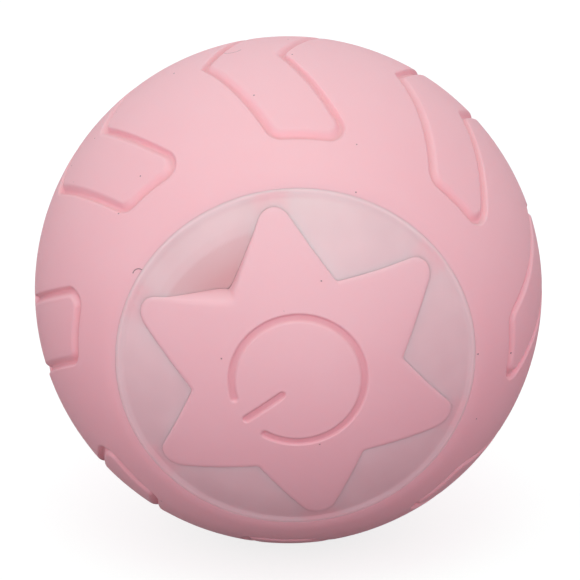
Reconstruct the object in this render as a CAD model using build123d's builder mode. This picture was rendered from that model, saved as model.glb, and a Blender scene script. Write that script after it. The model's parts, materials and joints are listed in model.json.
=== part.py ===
from build123d import *

import os
from math import acos, atan2, cos, degrees, hypot, radians, sin, sqrt, tan

# Self-driving rolling ball for dogs. All lengths are in millimetres.
# The hub axis runs along Y and the ball's centre is the origin. The near pole, with the star
# button, faces -Y. A height is a distance from the centre toward the near pole, so what lies
# on the far side has a negative height. A reach is a distance from the hub axis. An angle is
# seen from outside the near pole, from +X toward +Z.

# Ball: two half shells joined at the equator, under a one-piece rubber tread skin
ball_radius = 43.0
skin_thickness = 3.0
skin_fit = 0.1
shell_wall = 2.1
window_drop = 0.8
opening_radius = 30.1
opening_round = 0.4
window_gap = 0.1
window_bevel = 0.25
overrun = 1.0

# Tread: chevrons marked by a groove all the way round each one
tread_count = 8
tread_middle_angle = 48.95
tread_slant_angle = 25.2
tread_limb_width = 12.15
tread_notch_offset = 1.9
tread_end_height = 21.5
tread_corner_round = 2.8
tread_apex_round = 1.5
tread_seam_angle = 27.0
groove_width = 1.3
groove_depth = 0.9

# Star button and the pocket that it sits in
star_arms = 6
star_first_angle = 38.4
star_tip_reach = 29.4
star_waist_reach = 17.9
star_tip_round = 2.3
star_waist_round = 0.8
star_proud = 0.25
star_thickness = 2.2
star_gap = 0.15
press_travel = 0.5
press_clearance = 0.2
pad_step = 1.55
glue_line = 0.05

# Power symbol sunk into the star, along one of its arms
symbol_angle = 218.4
symbol_reach = 11.2
symbol_width = 1.4
symbol_depth = 0.5
symbol_half_gap_angle = 17.0
symbol_bar_start = 3.2
symbol_bar_end = 10.5

# Fingernail recess in the window, between two arms, for lifting the star out
recess_angle = 98.4
recess_sweep = 60.0
recess_outer_reach = 26.4
recess_step_reach = 24.6
recess_floor_reach = 17.2
recess_inner_reach = 15.5
recess_step_depth = 0.15
recess_floor_depth = 2.45

# Charging well behind the star, and the plate that closes it
well_radius = 13.6
collar_wall = 3.0
collar_length = 6.6
seat_drop = 4.55
seat_ledge = 1.4
gasket_thickness = 0.5
gasket_margin = 0.3
plate_thickness = 1.6
port_screw_radius = 0.8
port_screw_head_radius = 1.5
port_screw_head = 0.9
port_screw_grip = 5.0
port_screw_count = 3
port_screw_angle = 30.0

# Cap that plugs the well and guides the star's stem
cap_flange_slip = 0.2
cap_flange_thickness = 1.4
plug_clearance = 0.25
plug_length = 4.2
plug_wall = 2.45
plug_groove_depth = 1.15
plug_groove_width = 1.6
plug_groove_margin = 1.3
cap_seal_thickness = 1.26
seal_slip = 0.05
spring_pocket_radius = 3.9
spring_pocket_depth = 2.8
guide_wall = 1.4
guide_radius = 5.1
stem_radius = 2.0
stem_slip = 0.08
stem_gap = 0.3
carrier_radius = 12.0
carrier_thickness = 1.2
clip_radius = 3.0
clip_thickness = 0.6
clip_groove_depth = 0.6
clip_slip = 0.05
spring_wire = 0.44
spring_coil_radius = 3.0
spring_turns = 4
spring_end_gap = 0.02

# Circuit board and what it carries
board_margin = 3.0
board_drop = 5.6
board_thickness = 1.2
port_offset = 7.0
port_length = 6.5
port_width = 8.94
port_height = 3.16
port_skin = 0.3
port_slot_gap = 0.35
tongue_width = 6.7
tongue_thickness = 0.7
tongue_length = 5.2
switch_side = 6.2
switch_height = 3.3
plunger_radius = 1.6
plunger_length = 5.4
plunger_lift = 1.8
plunger_slip = 0.08
plunger_well_lift = 1.2
plunger_seal_thickness = 0.9
led_reach = 20.5
led_width = 3.5
led_depth = 2.8
led_height = 1.9
led_count = 3
led_angle = 90.0
control_chip_side = 7.0
control_chip_height = 0.9
control_chip_x = -14.0
control_chip_z = 4.0
driver_chip_width = 5.0
driver_chip_depth = 6.2
driver_chip_height = 1.5
driver_chip_x = 14.0
driver_chip_z = 4.0
sensor_side = 3.0
sensor_height = 1.0
sensor_x = 13.0
sensor_z = -9.0

# Core frame: plate, cradle wall, pillars, shelf and ribs
post_count = 4
post_gap = 2.8
post_angle = 45.0
post_radius = 2.8
frame_leg_length = 2.6
frame_plate = 1.8
frame_leg_radius = 2.5
core_radius = 20.0
core_wall = 1.5
core_length = 20.6
pillar_radius = 2.0
pillar_inset = 3.6
pillar_angles = (5.0, 115.0, 262.0)
back_opening_width = 18.0
back_opening_top = 14.0
back_opening_bottom = 11.0
shelf_top = 4.7
shelf_thickness = 1.2
saddle_thickness = 1.5
saddle_width = 13.0
saddle_top = 3.0
saddle_offsets = (4.4, 14.4)
motor_slip = 0.1
battery_rib_thickness = 1.2
battery_rib_spacing = 18.0
frame_screw_radius = 1.2
frame_screw_head_radius = 2.2
frame_screw_head = 1.4
frame_screw_grip = 6.0
screw_slack = 0.15
thread_fit = 0.02

# Battery
battery_width = 24.0
battery_length = 19.0
battery_thickness = 6.0
battery_corner_round = 1.0
battery_pad = 0.5
battery_play = 0.2
battery_offset = 1.0
lead_radius = 0.45
lead_spacing = 4.0
lead_step = 2.0
lead_bend = 0.9

# Motor
motor_radius = 7.5
motor_length = 18.0
motor_offset = 6.5
motor_cap_radius = 7.1
motor_cap_length = 1.6
motor_boss_radius = 2.8
motor_boss_length = 1.0
motor_shaft_radius = 0.75
motor_shaft_inside = 5.4
motor_shaft_overhang = 0.1
terminal_width = 1.6
terminal_thickness = 0.4
terminal_length = 1.6
terminal_spacing = 7.0
motor_screw_radius = 0.85
motor_screw_head_radius = 1.5
motor_screw_head = 0.8
motor_screw_grip = 2.0
motor_screw_reach = 5.0
motor_screw_angle = 15.0

# Gearbox: three reductions between two plates
gear_module = 0.5
pinion_teeth = 10
wheel_teeth = 30
addendum_share = 0.8
dedendum_share = 1.25
root_half_share = 0.29
pitch_half_share = 0.215
tip_half_share = 0.10
layer_thickness = 2.2
output_layer_thickness = 2.4
layer_gap = 0.4
gearbox_plate = 1.6
gear_pin_radius = 0.8
gear_slip = 0.06
pin_depth = 1.2
second_axle_angle = 220.0
gearbox_screw_radius = 0.98
gearbox_screw_head_radius = 1.9
gearbox_screw_head = 1.3
gearbox_screw_grip = 8.0
gearbox_pillar_radius = 2.2

# Drive shaft and its bushes
shaft_radius = 1.5
shaft_slip = 0.05
press_fit = 0.03
shaft_inset = 0.3
shaft_end_gap = 0.6
base_bush_radius = 2.8
base_bush_length = 1.8
cover_bush_radius = 3.2
cover_bush_lift = 0.2
cover_boss_length = 1.6
cover_boss_radius = 5.0
far_bush_radius = 3.2
far_bush_length = 5.0
far_bush_gap = 1.2
far_boss_radius = 5.4
far_boss_lip = 0.6
far_bore_inset = 7.6
far_rib_count = 4
far_rib_reach = 13.0
far_rib_height = 9.8
far_rib_thickness = 1.4
washer_thickness = 0.5
washer_radius = 3.4
washer_gap = 0.05

# Swinging weight that the motor lifts to roll the ball
arm_gap = 0.6
arm_thickness = 3.0
hub_length = 4.0
hub_radius = 4.6
arm_neck_width = 8.0
arm_inset = 3.8
weight_core_gap = 1.4
weight_spigot_gap = 2.0
weight_clearance = 1.6
weight_length = 27.2
weight_sweep = 76.0
weight_edge_round = 0.8
weight_screw_inset = 4.0
weight_screw_angle = 22.0
weight_screw_radius = 1.25
weight_screw_head_radius = 2.2
weight_screw_head = 1.2
weight_screw_grip = 7.0

# Joint at the equator: spigot, seal and screws hidden under the skin
spigot_wall = 1.8
rim_wall = 2.3
spigot_length = 7.4
spigot_slip = 0.1
rim_depth = 6.0
rim_bury = 0.9
seal_groove_margin = 1.5
seal_groove_width = 1.3
seal_groove_depth = 1.2
seal_thickness = 1.16
rim_screw_count = 6
rim_screw_height = -3.0
rim_screw_radius = 1.0
rim_screw_head_radius = 1.9
rim_screw_head = 1.1
rim_screw_sink = 0.2
rim_screw_inset = 0.2

# Radii of the surfaces that follow the ball
shell_radius = ball_radius - skin_thickness - skin_fit
cavity_radius = shell_radius - shell_wall
window_radius = ball_radius - window_drop
window_reach = opening_radius - window_gap
star_radius = window_radius + star_proud
star_underside = star_radius - star_thickness
pocket_radius = star_underside - press_travel - press_clearance
root_radius = cavity_radius + shell_wall / 2
spigot_outer_reach = shell_radius - rim_wall
spigot_inner_reach = spigot_outer_reach - spigot_wall
seal_groove_height = seal_groove_margin - spigot_length

# Heights from the star button through the well to the circuit board
carrier_top = star_underside - pad_step
seat_height = pocket_radius - seat_drop
collar_end = seat_height - collar_length
plate_near_face = collar_end - gasket_thickness
plate_far_face = plate_near_face - plate_thickness
board_near_face = collar_end - board_drop
board_far_face = board_near_face - board_thickness
plunger_foot = board_near_face + plunger_lift
plunger_top = plunger_foot + plunger_length
plunger_well = board_near_face + plunger_well_lift
stem_end = plunger_top + stem_gap

# Heights through the core, from its frame toward the far side
frame_near_face = board_far_face - frame_leg_length
frame_far_face = frame_near_face - frame_plate
core_end = frame_far_face - core_length
base_far_face = core_end - gearbox_plate
first_layer = base_far_face - layer_gap
second_layer = first_layer - layer_thickness - layer_gap
third_layer = second_layer - layer_thickness - layer_gap
cover_near_face = third_layer - output_layer_thickness - layer_gap
cover_far_face = cover_near_face - gearbox_plate
cover_bush_end = cover_far_face - cover_boss_length
arm_start = cover_bush_end - arm_gap
hub_end = arm_start - hub_length
arm_end = arm_start - arm_thickness

# Heights of the drive shaft's seat in the far shell
far_bore_end = far_bore_inset - cavity_radius
far_bush_end = far_bore_end + far_bush_gap
far_bush_start = far_bush_end + far_bush_length
far_boss_start = far_bush_start + far_boss_lip
far_rib_start = far_rib_height - cavity_radius

# Reaches through the core
collar_radius = well_radius + collar_wall
port_screw_reach = well_radius + collar_wall / 2
seat_radius = well_radius + seat_ledge
cap_flange_radius = seat_radius - cap_flange_slip
post_reach = core_radius + post_gap
board_radius = post_reach + board_margin
cradle_radius = core_radius - core_wall
pillar_reach = core_radius - pillar_inset
battery_top = shelf_top + shelf_thickness + battery_pad
battery_bottom = battery_top + battery_thickness
weight_inner_reach = core_radius + weight_core_gap
weight_outer_reach = spigot_inner_reach - weight_spigot_gap
arm_outer_reach = weight_outer_reach - arm_inset
weight_screw_reach = arm_outer_reach - weight_screw_inset


def section_at(angle):
    """Half-plane through the hub axis at an angle, as reach and height."""
    turn = radians(angle)
    return Plane(origin=(0, 0, 0), x_dir=(cos(turn), 0, sin(turn)), z_dir=(sin(turn), 0, -cos(turn)))


section = section_at(0)


def level(height):
    """Plane square to the hub axis at a height, with X to the right and Z up."""
    return Plane.XZ.offset(height)


def radial(angle):
    """Plane through the centre that faces outward at an angle, with the near pole up."""
    turn = radians(angle)
    return Plane(origin=(0, 0, 0), x_dir=(-sin(turn), 0, cos(turn)), z_dir=(cos(turn), 0, sin(turn)))


def rise(radius, reach):
    """Height of a sphere's surface at a reach from the hub axis."""
    return sqrt(radius**2 - reach**2)


def spot(reach, angle):
    """Place on a level plane."""
    return (reach * cos(radians(angle)), reach * sin(radians(angle)))


def around(count, first_angle):
    """Angles of a number of equal steps round the hub axis."""
    return [first_angle + 360 / count * step for step in range(count)]


def spots(count, reach, first_angle):
    """Places of a number of equal steps round the hub axis."""
    return [spot(reach, angle) for angle in around(count, first_angle)]


def disc(height, radius, centre=(0, 0)):
    """Round face on a level plane."""
    with BuildSketch(level(height)) as face:
        with Locations(centre):
            Circle(radius)
    return face.sketch


def discs(height, radius, places):
    """Several round faces on a level plane."""
    with BuildSketch(level(height)) as face:
        with Locations(*places):
            Circle(radius)
    return face.sketch


def ring(height, radius, bore, centre=(0, 0)):
    """Round face with a hole, on a level plane."""
    with BuildSketch(level(height)) as face:
        with Locations(centre):
            Circle(radius)
            Circle(bore, mode=Mode.SUBTRACT)
    return face.sketch


def plate(height, width, depth, centre=(0, 0)):
    """Rectangular face on a level plane."""
    with BuildSketch(level(height)) as face:
        with Locations(centre):
            Rectangle(width, depth)
    return face.sketch


def seal_ring(height, reach, thickness):
    """Round cross-section of a rubber ring that lies round the hub axis."""
    with BuildSketch(section) as face:
        with Locations((reach, height)):
            Circle(thickness / 2)
    return face.sketch


def star_face(height, growth):
    """Outline of the star, grown all round."""
    points = []
    for angle in around(star_arms, star_first_angle):
        points.append(spot(star_tip_reach, angle))
        points.append(spot(star_waist_reach, angle + 180 / star_arms))
    with BuildSketch(level(height)) as face:
        with BuildLine():
            Polyline(*points, close=True)
        make_face()
        tips = face.vertices().sort_by_distance((0, 0, 0))[star_arms:]
        fillet(tips, radius=star_tip_round)
        waists = face.vertices().sort_by_distance((0, 0, 0))[:star_arms]
        fillet(waists, radius=star_waist_round)
        if growth:
            offset(amount=growth)
    return face.sketch


def tread_face(growth):
    """Outline of a chevron, grown all round, on the plane that faces outward at its middle."""
    slant = radians(tread_slant_angle)
    notch = -tread_notch_offset - growth / cos(slant)
    tip = notch + (tread_limb_width + 2 * growth) / cos(slant)
    end = tread_end_height + growth
    back = end * tan(slant)
    with BuildSketch(radial(tread_middle_angle)) as face:
        with BuildLine():
            Polyline(
                (notch - back, end),
                (notch, 0),
                (notch - back, -end),
                (tip - back, -end),
                (tip, 0),
                (tip - back, end),
                close=True,
            )
        make_face()
        corners = face.vertices().sort_by(Axis.Y)
        fillet(corners[:2] + corners[-2:], radius=tread_corner_round + growth)
        apexes = face.vertices().filter_by(lambda vertex: abs(vertex.Y) < glue_line)
        fillet(apexes.sort_by(Axis.X)[0], radius=tread_apex_round - growth)
        fillet(apexes.sort_by(Axis.X)[-1], radius=tread_apex_round + growth)
    return face.sketch


def gear_face(height, teeth, turn, bore, centre=(0, 0)):
    """Toothed wheel on a level plane, with one tooth's middle at an angle."""
    pitch_radius = gear_module * teeth / 2
    root = pitch_radius - dedendum_share * gear_module
    tip = pitch_radius + addendum_share * gear_module
    flank = [(root, root_half_share), (pitch_radius, pitch_half_share), (tip, tip_half_share)]
    points = []
    for tooth in range(teeth):
        middle = turn + 360 / teeth * tooth
        points += [spot(radius, middle - 360 / teeth * share) for radius, share in flank]
        points += [spot(radius, middle + 360 / teeth * share) for radius, share in reversed(flank)]
    points = [(centre[0] + x, centre[1] + y) for x, y in points]
    with BuildSketch(level(height)) as face:
        with BuildLine():
            Polyline(*points, close=True)
        make_face()
        with Locations(centre):
            Circle(bore, mode=Mode.SUBTRACT)
    return face.sketch


def meeting_point(first, second, distance):
    """Left-hand place that lies one distance from two others."""
    half = hypot(second[0] - first[0], second[1] - first[1]) / 2
    back = sqrt(distance**2 - half**2)
    across = atan2(second[1] - first[1], second[0] - first[0]) - radians(90)
    middle = ((first[0] + second[0]) / 2, (first[1] + second[1]) / 2)
    return (middle[0] + back * cos(across), middle[1] + back * sin(across))


def bearing(start, end):
    """Angle at which one place sees another."""
    return degrees(atan2(end[1] - start[1], end[0] - start[0]))


# Axles of the gear train, and the turn of each wheel that puts its teeth in mesh
centre_distance = gear_module * (pinion_teeth + wheel_teeth) / 2
motor_axle = (0, motor_offset)
second_axle = spot(centre_distance, second_axle_angle)
first_axle = meeting_point(motor_axle, second_axle, centre_distance)
tooth_step = 360 / wheel_teeth
pinion_step = 360 / pinion_teeth
motor_pinion_turn = bearing(motor_axle, first_axle)
first_wheel_turn = bearing(first_axle, motor_axle) + tooth_step / 2
first_pinion_turn = bearing(first_axle, second_axle)
second_wheel_turn = bearing(second_axle, first_axle) + tooth_step / 2
second_pinion_turn = bearing(second_axle, (0, 0))
output_turn = bearing((0, 0), second_axle) + tooth_step / 2

post_places = spots(post_count, post_reach, post_angle)
pillar_places = [spot(pillar_reach, angle) for angle in pillar_angles]
port_screw_places = spots(port_screw_count, port_screw_reach, port_screw_angle)
motor_screw_places = [
    (side * motor_screw_reach * cos(radians(motor_screw_angle)),
     motor_offset + side * motor_screw_reach * sin(radians(motor_screw_angle)))
    for side in (-1, 1)
]
weight_screw_places = [spot(weight_screw_reach, 270 + side * weight_screw_angle) for side in (-1, 1)]
rim_screw_angles = around(rim_screw_count, 0)


# Tread skin: a rubber band over the whole rolling surface, open round both windows
with BuildPart() as groove:
    extrude(tread_face(groove_width / 2), amount=ball_radius + overrun)
    extrude(tread_face(-groove_width / 2), amount=ball_radius + overrun, mode=Mode.SUBTRACT)
    Sphere(ball_radius - groove_depth, mode=Mode.SUBTRACT)

with BuildPart() as tread_skin:
    # The band is closed between two chevrons, clear of every groove
    with BuildSketch(section_at(tread_seam_angle)) as band:
        with BuildLine():
            outside_angle = degrees(acos(opening_radius / ball_radius))
            inside_radius = ball_radius - skin_thickness
            inside_angle = degrees(acos(opening_radius / inside_radius))
            outside = CenterArc((0, 0), ball_radius, -outside_angle, 2 * outside_angle)
            inside = CenterArc((0, 0), inside_radius, -inside_angle, 2 * inside_angle)
            Line(outside @ 0, inside @ 0)
            Line(outside @ 1, inside @ 1)
        make_face()
        rims = band.vertices().sort_by(Axis.Y)
        fillet([rims[0], rims[-1]], radius=opening_round)
    revolve(axis=Axis.Y)
    for angle in around(tread_count, 0):
        add(groove.part, rotation=(0, angle, 0), mode=Mode.SUBTRACT)


# Half shell before its own features: dome, raised window and star-shaped pocket
with BuildPart() as star_pocket:
    extrude(star_face(0, star_gap), amount=ball_radius)
    Sphere(pocket_radius, mode=Mode.SUBTRACT)

with BuildPart() as half_shell:
    with BuildSketch(section) as dome:
        with BuildLine():
            dome_angle = degrees(acos(window_reach / shell_radius))
            edge_angle = degrees(acos(window_reach / window_radius))
            track = CenterArc((0, 0), shell_radius, 0, dome_angle)
            window = CenterArc((0, 0), window_radius, edge_angle, 90 - edge_angle)
            hollow = CenterArc((0, 0), cavity_radius, 0, 90)
            Line(track @ 1, window @ 0)
            Line(window @ 1, hollow @ 1)
            Line(hollow @ 0, track @ 0)
        make_face()
        edge = dome.vertices().sort_by_distance((window_reach, -rise(window_radius, window_reach), 0))
        chamfer(edge[0], length=window_bevel)
    revolve(axis=Axis.Y)
    add(star_pocket.part, mode=Mode.SUBTRACT)

with BuildPart() as near_bosses:
    extrude(ring(collar_end, collar_radius, well_radius), amount=ball_radius - collar_end)
    extrude(discs(board_near_face, post_radius, post_places), amount=ball_radius - board_near_face)
    Sphere(root_radius, mode=Mode.INTERSECT)

with BuildPart() as near_half_shell:
    add(half_shell.part)
    add(near_bosses.part)
    extrude(ring(0, spigot_outer_reach + rim_bury, spigot_inner_reach), amount=rim_depth)
    extrude(ring(-spigot_length, spigot_outer_reach, spigot_inner_reach), amount=spigot_length)
    # Well, and the seat for the cap round its mouth
    extrude(disc(collar_end - overrun, well_radius), amount=ball_radius, mode=Mode.SUBTRACT)
    extrude(disc(seat_height, seat_radius), amount=ball_radius - seat_height, mode=Mode.SUBTRACT)
    # Fingernail recess, a faint step and then a slope down to the foot of the star
    with BuildSketch(section) as scoop:
        with BuildLine():
            outer_edge = (recess_outer_reach, rise(window_radius, recess_outer_reach))
            step = (recess_step_reach, rise(window_radius, recess_step_reach) - recess_step_depth)
            floor = (recess_floor_reach, rise(window_radius, recess_floor_reach) - recess_floor_depth)
            inner = (recess_inner_reach, rise(window_radius, recess_inner_reach) - recess_floor_depth)
            Polyline(
                outer_edge,
                step,
                floor,
                inner,
                (recess_inner_reach, ball_radius),
                (recess_outer_reach, ball_radius),
                close=True,
            )
        make_face()
    recess = revolve(axis=Axis.Y, revolution_arc=recess_sweep, mode=Mode.PRIVATE)
    add(recess, rotation=(0, -recess_angle - recess_sweep, 0), mode=Mode.SUBTRACT)
    # Threads for the screws of the well plate and of the core
    thread = port_screw_radius + thread_fit
    extrude(discs(collar_end, thread, port_screw_places), amount=port_screw_grip, mode=Mode.SUBTRACT)
    thread = frame_screw_radius + thread_fit
    extrude(discs(board_near_face, thread, post_places), amount=frame_screw_grip, mode=Mode.SUBTRACT)
    # Groove for the joint seal, and threads for the rim screws
    groove_floor = spigot_outer_reach - seal_groove_depth
    extrude(
        ring(seal_groove_height - seal_groove_width / 2, ball_radius, groove_floor),
        amount=seal_groove_width,
        mode=Mode.SUBTRACT,
    )
    for angle in rim_screw_angles:
        with BuildSketch(radial(angle).offset(spigot_inner_reach - overrun)):
            with Locations((0, rim_screw_height)):
                Circle(rim_screw_radius + thread_fit)
        extrude(amount=spigot_outer_reach - spigot_inner_reach + 2 * overrun, mode=Mode.SUBTRACT)

with BuildPart() as far_bosses:
    extrude(disc(-ball_radius, far_boss_radius), amount=ball_radius + far_boss_start)
    for angle in around(far_rib_count, 0):
        with BuildSketch(level(-ball_radius)):
            with Locations(Location((0, 0), angle)):
                Rectangle(far_rib_reach, far_rib_thickness, align=(Align.MIN, Align.CENTER))
        extrude(amount=ball_radius + far_rib_start)
    Sphere(root_radius, mode=Mode.INTERSECT)

with BuildPart() as far_half_shell:
    mirror(half_shell.part, about=Plane.XZ)
    add(far_bosses.part)
    extrude(
        disc(-spigot_length - spigot_slip, spigot_outer_reach + spigot_slip),
        amount=spigot_length + spigot_slip,
        mode=Mode.SUBTRACT,
    )
    extrude(disc(far_bore_end, far_bush_radius + press_fit), amount=-far_bore_end, mode=Mode.SUBTRACT)
    for angle in rim_screw_angles:
        with BuildSketch(radial(angle).offset(spigot_outer_reach)):
            with Locations((0, rim_screw_height)):
                Circle(rim_screw_radius + screw_slack)
        extrude(amount=ball_radius - spigot_outer_reach, mode=Mode.SUBTRACT)
        with BuildSketch(radial(angle).offset(shell_radius - rim_screw_sink - rim_screw_head)):
            with Locations((0, rim_screw_height)):
                Circle(rim_screw_head_radius + screw_slack)
        extrude(amount=ball_radius - shell_radius + rim_screw_head, mode=Mode.SUBTRACT)

with BuildPart() as far_star:
    extrude(star_face(-ball_radius, 0), amount=ball_radius)
    Sphere(star_radius, mode=Mode.INTERSECT)
    Sphere(pocket_radius + glue_line, mode=Mode.SUBTRACT)

with BuildPart() as joint_seal:
    groove_floor = spigot_outer_reach - seal_groove_depth
    seal_reach = groove_floor + thread_fit + seal_thickness / 2
    revolve(seal_ring(seal_groove_height, seal_reach, seal_thickness), axis=Axis.Y)

rim_screw_end = spigot_inner_reach + rim_screw_inset

with BuildPart() as rim_screws:
    for angle in rim_screw_angles:
        with BuildSketch(radial(angle).offset(shell_radius - rim_screw_sink - rim_screw_head)):
            with Locations((0, rim_screw_height)):
                Circle(rim_screw_head_radius)
        extrude(amount=rim_screw_head)
        with BuildSketch(radial(angle).offset(rim_screw_end)):
            with Locations((0, rim_screw_height)):
                Circle(rim_screw_radius)
        extrude(amount=shell_radius - rim_screw_sink - rim_screw_head - rim_screw_end)


# Well plate with its gasket, screws and the seal round the switch plunger
port_place = (0, -port_offset)

with BuildPart() as well_gasket:
    extrude(
        ring(plate_near_face, collar_radius, well_radius + gasket_margin),
        amount=gasket_thickness,
    )
    hole = port_screw_radius + screw_slack
    extrude(discs(plate_near_face, hole, port_screw_places), amount=gasket_thickness, mode=Mode.SUBTRACT)

with BuildPart() as port_plate:
    extrude(disc(plate_far_face, collar_radius), amount=plate_thickness)
    hole = port_screw_radius + screw_slack
    extrude(discs(plate_far_face, hole, port_screw_places), amount=plate_thickness, mode=Mode.SUBTRACT)
    extrude(disc(plate_far_face, plunger_radius + plunger_slip), amount=plate_thickness, mode=Mode.SUBTRACT)
    extrude(
        disc(plate_near_face - plunger_seal_thickness, plunger_radius + plunger_slip + plunger_seal_thickness),
        amount=plunger_seal_thickness,
        mode=Mode.SUBTRACT,
    )
    slot_width = port_width + 2 * port_slot_gap
    slot_height = port_height + 2 * port_slot_gap
    with BuildSketch(level(plate_far_face)):
        with Locations(port_place):
            RectangleRounded(slot_width, slot_height, slot_height / 2 - glue_line)
    extrude(amount=plate_thickness, mode=Mode.SUBTRACT)

with BuildPart() as port_screws:
    extrude(
        discs(plate_far_face - port_screw_head, port_screw_head_radius, port_screw_places),
        amount=port_screw_head,
    )
    extrude(
        discs(plate_far_face, port_screw_radius, port_screw_places),
        amount=plate_thickness + gasket_thickness + port_screw_grip - glue_line,
    )

with BuildPart() as plunger_seal:
    seal_tube = plunger_seal_thickness - 2 * thread_fit
    seal_middle = plunger_radius + plunger_slip + plunger_seal_thickness / 2
    revolve(
        seal_ring(plate_near_face - plunger_seal_thickness / 2, seal_middle, seal_tube),
        axis=Axis.Y,
    )


# Cap: rigid plug with a seal, and the sprung star button that it guides
plug_radius = well_radius - plug_clearance
cap_top = seat_height + cap_flange_thickness
plug_end = seat_height - plug_length
guide_top = cap_top - spring_pocket_depth
guide_end = guide_top - guide_wall
plug_groove_top = seat_height - plug_groove_margin
plug_groove_reach = plug_radius - plug_groove_depth

with BuildPart() as cap_body:
    with BuildSketch(section):
        with BuildLine():
            Polyline(
                (stem_radius + stem_slip, guide_end),
                (stem_radius + stem_slip, guide_top),
                (spring_pocket_radius, guide_top),
                (spring_pocket_radius, cap_top),
                (cap_flange_radius, cap_top),
                (cap_flange_radius, seat_height),
                (plug_radius, seat_height),
                (plug_radius, plug_groove_top),
                (plug_groove_reach, plug_groove_top),
                (plug_groove_reach, plug_groove_top - plug_groove_width),
                (plug_radius, plug_groove_top - plug_groove_width),
                (plug_radius, plug_end),
                (plug_radius - plug_wall, plug_end),
                (plug_radius - plug_wall, seat_height),
                (guide_radius, seat_height),
                (guide_radius, guide_end),
                close=True,
            )
        make_face()
    revolve(axis=Axis.Y)

with BuildPart() as cap_seal:
    cap_seal_reach = well_radius - seal_slip - cap_seal_thickness / 2
    revolve(
        seal_ring(plug_groove_top - plug_groove_width / 2, cap_seal_reach, cap_seal_thickness),
        axis=Axis.Y,
    )

carrier_underside = carrier_top - carrier_thickness

with BuildPart() as button_spring:
    spring_start = guide_top + spring_wire / 2 + spring_end_gap
    spring_height = carrier_underside - guide_top - spring_wire - 2 * spring_end_gap
    with BuildLine():
        coil = Helix(
            pitch=spring_height / spring_turns,
            height=spring_height,
            radius=spring_coil_radius,
            center=(0, -spring_start, 0),
            direction=(0, -1, 0),
        )
    with BuildSketch(Plane(origin=coil @ 0, z_dir=coil % 0)):
        Circle(spring_wire / 2)
    sweep()

with BuildPart() as star_carrier:
    extrude(disc(carrier_underside, carrier_radius), amount=carrier_thickness)
    extrude(disc(stem_end, stem_radius), amount=carrier_underside - stem_end)
    clip_groove_start = guide_end - 2 * clip_slip - clip_thickness
    extrude(
        ring(clip_groove_start - clip_slip, stem_radius + overrun, stem_radius - clip_groove_depth),
        amount=clip_thickness + 2 * clip_slip,
        mode=Mode.SUBTRACT,
    )

with BuildPart() as stem_clip:
    extrude(
        ring(clip_groove_start, clip_radius, stem_radius - clip_groove_depth + clip_slip),
        amount=clip_thickness,
    )

with BuildPart() as symbol:
    with BuildSketch(level(0)):
        with BuildLine():
            CenterArc(
                (0, 0),
                symbol_reach,
                symbol_angle + symbol_half_gap_angle,
                360 - 2 * symbol_half_gap_angle,
            )
        trace(line_width=symbol_width)
        with Locations(*spots(1, symbol_reach, symbol_angle - symbol_half_gap_angle)):
            Circle(symbol_width / 2)
        with Locations(*spots(1, symbol_reach, symbol_angle + symbol_half_gap_angle)):
            Circle(symbol_width / 2)
        bar_middle = (symbol_bar_start + symbol_bar_end) / 2
        with Locations(Location(spot(bar_middle, symbol_angle), symbol_angle)):
            SlotCenterToCenter(symbol_bar_end - symbol_bar_start, symbol_width)
    extrude(amount=ball_radius)
    Sphere(star_radius - symbol_depth, mode=Mode.SUBTRACT)

with BuildPart() as star_pad:
    extrude(star_face(0, 0), amount=ball_radius)
    Sphere(star_underside, mode=Mode.SUBTRACT)
    pad_height = star_underside - carrier_top + star_thickness / 2
    extrude(disc(carrier_top + glue_line, carrier_radius + glue_line), amount=pad_height)
    extrude(disc(0, carrier_radius + glue_line), amount=carrier_top + glue_line, mode=Mode.SUBTRACT)
    Sphere(star_radius, mode=Mode.INTERSECT)
    add(symbol.part, mode=Mode.SUBTRACT)


# Circuit board, charging socket, switch, lamps and chips
with BuildPart() as circuit_board:
    extrude(disc(board_far_face, board_radius), amount=board_thickness)
    hole = frame_screw_radius + screw_slack
    extrude(discs(board_far_face, hole, post_places), amount=board_thickness, mode=Mode.SUBTRACT)

with BuildPart() as usb_shell:
    with BuildSketch(level(board_near_face)):
        with Locations(port_place):
            RectangleRounded(port_width, port_height, port_height / 2 - glue_line)
    extrude(amount=port_length)
    with BuildSketch(level(board_near_face + port_length - tongue_length)):
        with Locations(port_place):
            inner_height = port_height - 2 * port_skin
            RectangleRounded(port_width - 2 * port_skin, inner_height, inner_height / 2 - glue_line)
    extrude(amount=tongue_length, mode=Mode.SUBTRACT)

with BuildPart() as usb_tongue:
    tongue_base = board_near_face + port_length - tongue_length
    extrude(plate(tongue_base, tongue_width, tongue_thickness, port_place), amount=tongue_length - overrun / 2)

with BuildPart() as switch_body:
    extrude(plate(board_near_face, switch_side, switch_side), amount=switch_height)
    extrude(
        disc(plunger_well, plunger_radius + plunger_slip),
        amount=switch_height,
        mode=Mode.SUBTRACT,
    )

with BuildPart() as switch_plunger:
    extrude(disc(plunger_foot, plunger_radius), amount=plunger_top - plunger_foot)

with BuildPart() as leds:
    for angle in around(led_count, led_angle):
        with BuildSketch(level(board_near_face)):
            with Locations(Location(spot(led_reach, angle), angle)):
                Rectangle(led_depth, led_width)
        extrude(amount=led_height)

chip_face = board_far_face

with BuildPart() as control_chip:
    chip_place = (control_chip_x, control_chip_z)
    extrude(
        plate(chip_face - control_chip_height, control_chip_side, control_chip_side, chip_place),
        amount=control_chip_height,
    )

with BuildPart() as motor_driver:
    driver_place = (driver_chip_x, driver_chip_z)
    extrude(
        plate(chip_face - driver_chip_height, driver_chip_width, driver_chip_depth, driver_place),
        amount=driver_chip_height,
    )

with BuildPart() as motion_sensor:
    sensor_place = (sensor_x, sensor_z)
    extrude(
        plate(chip_face - sensor_height, sensor_side, sensor_side, sensor_place),
        amount=sensor_height,
    )


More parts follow.
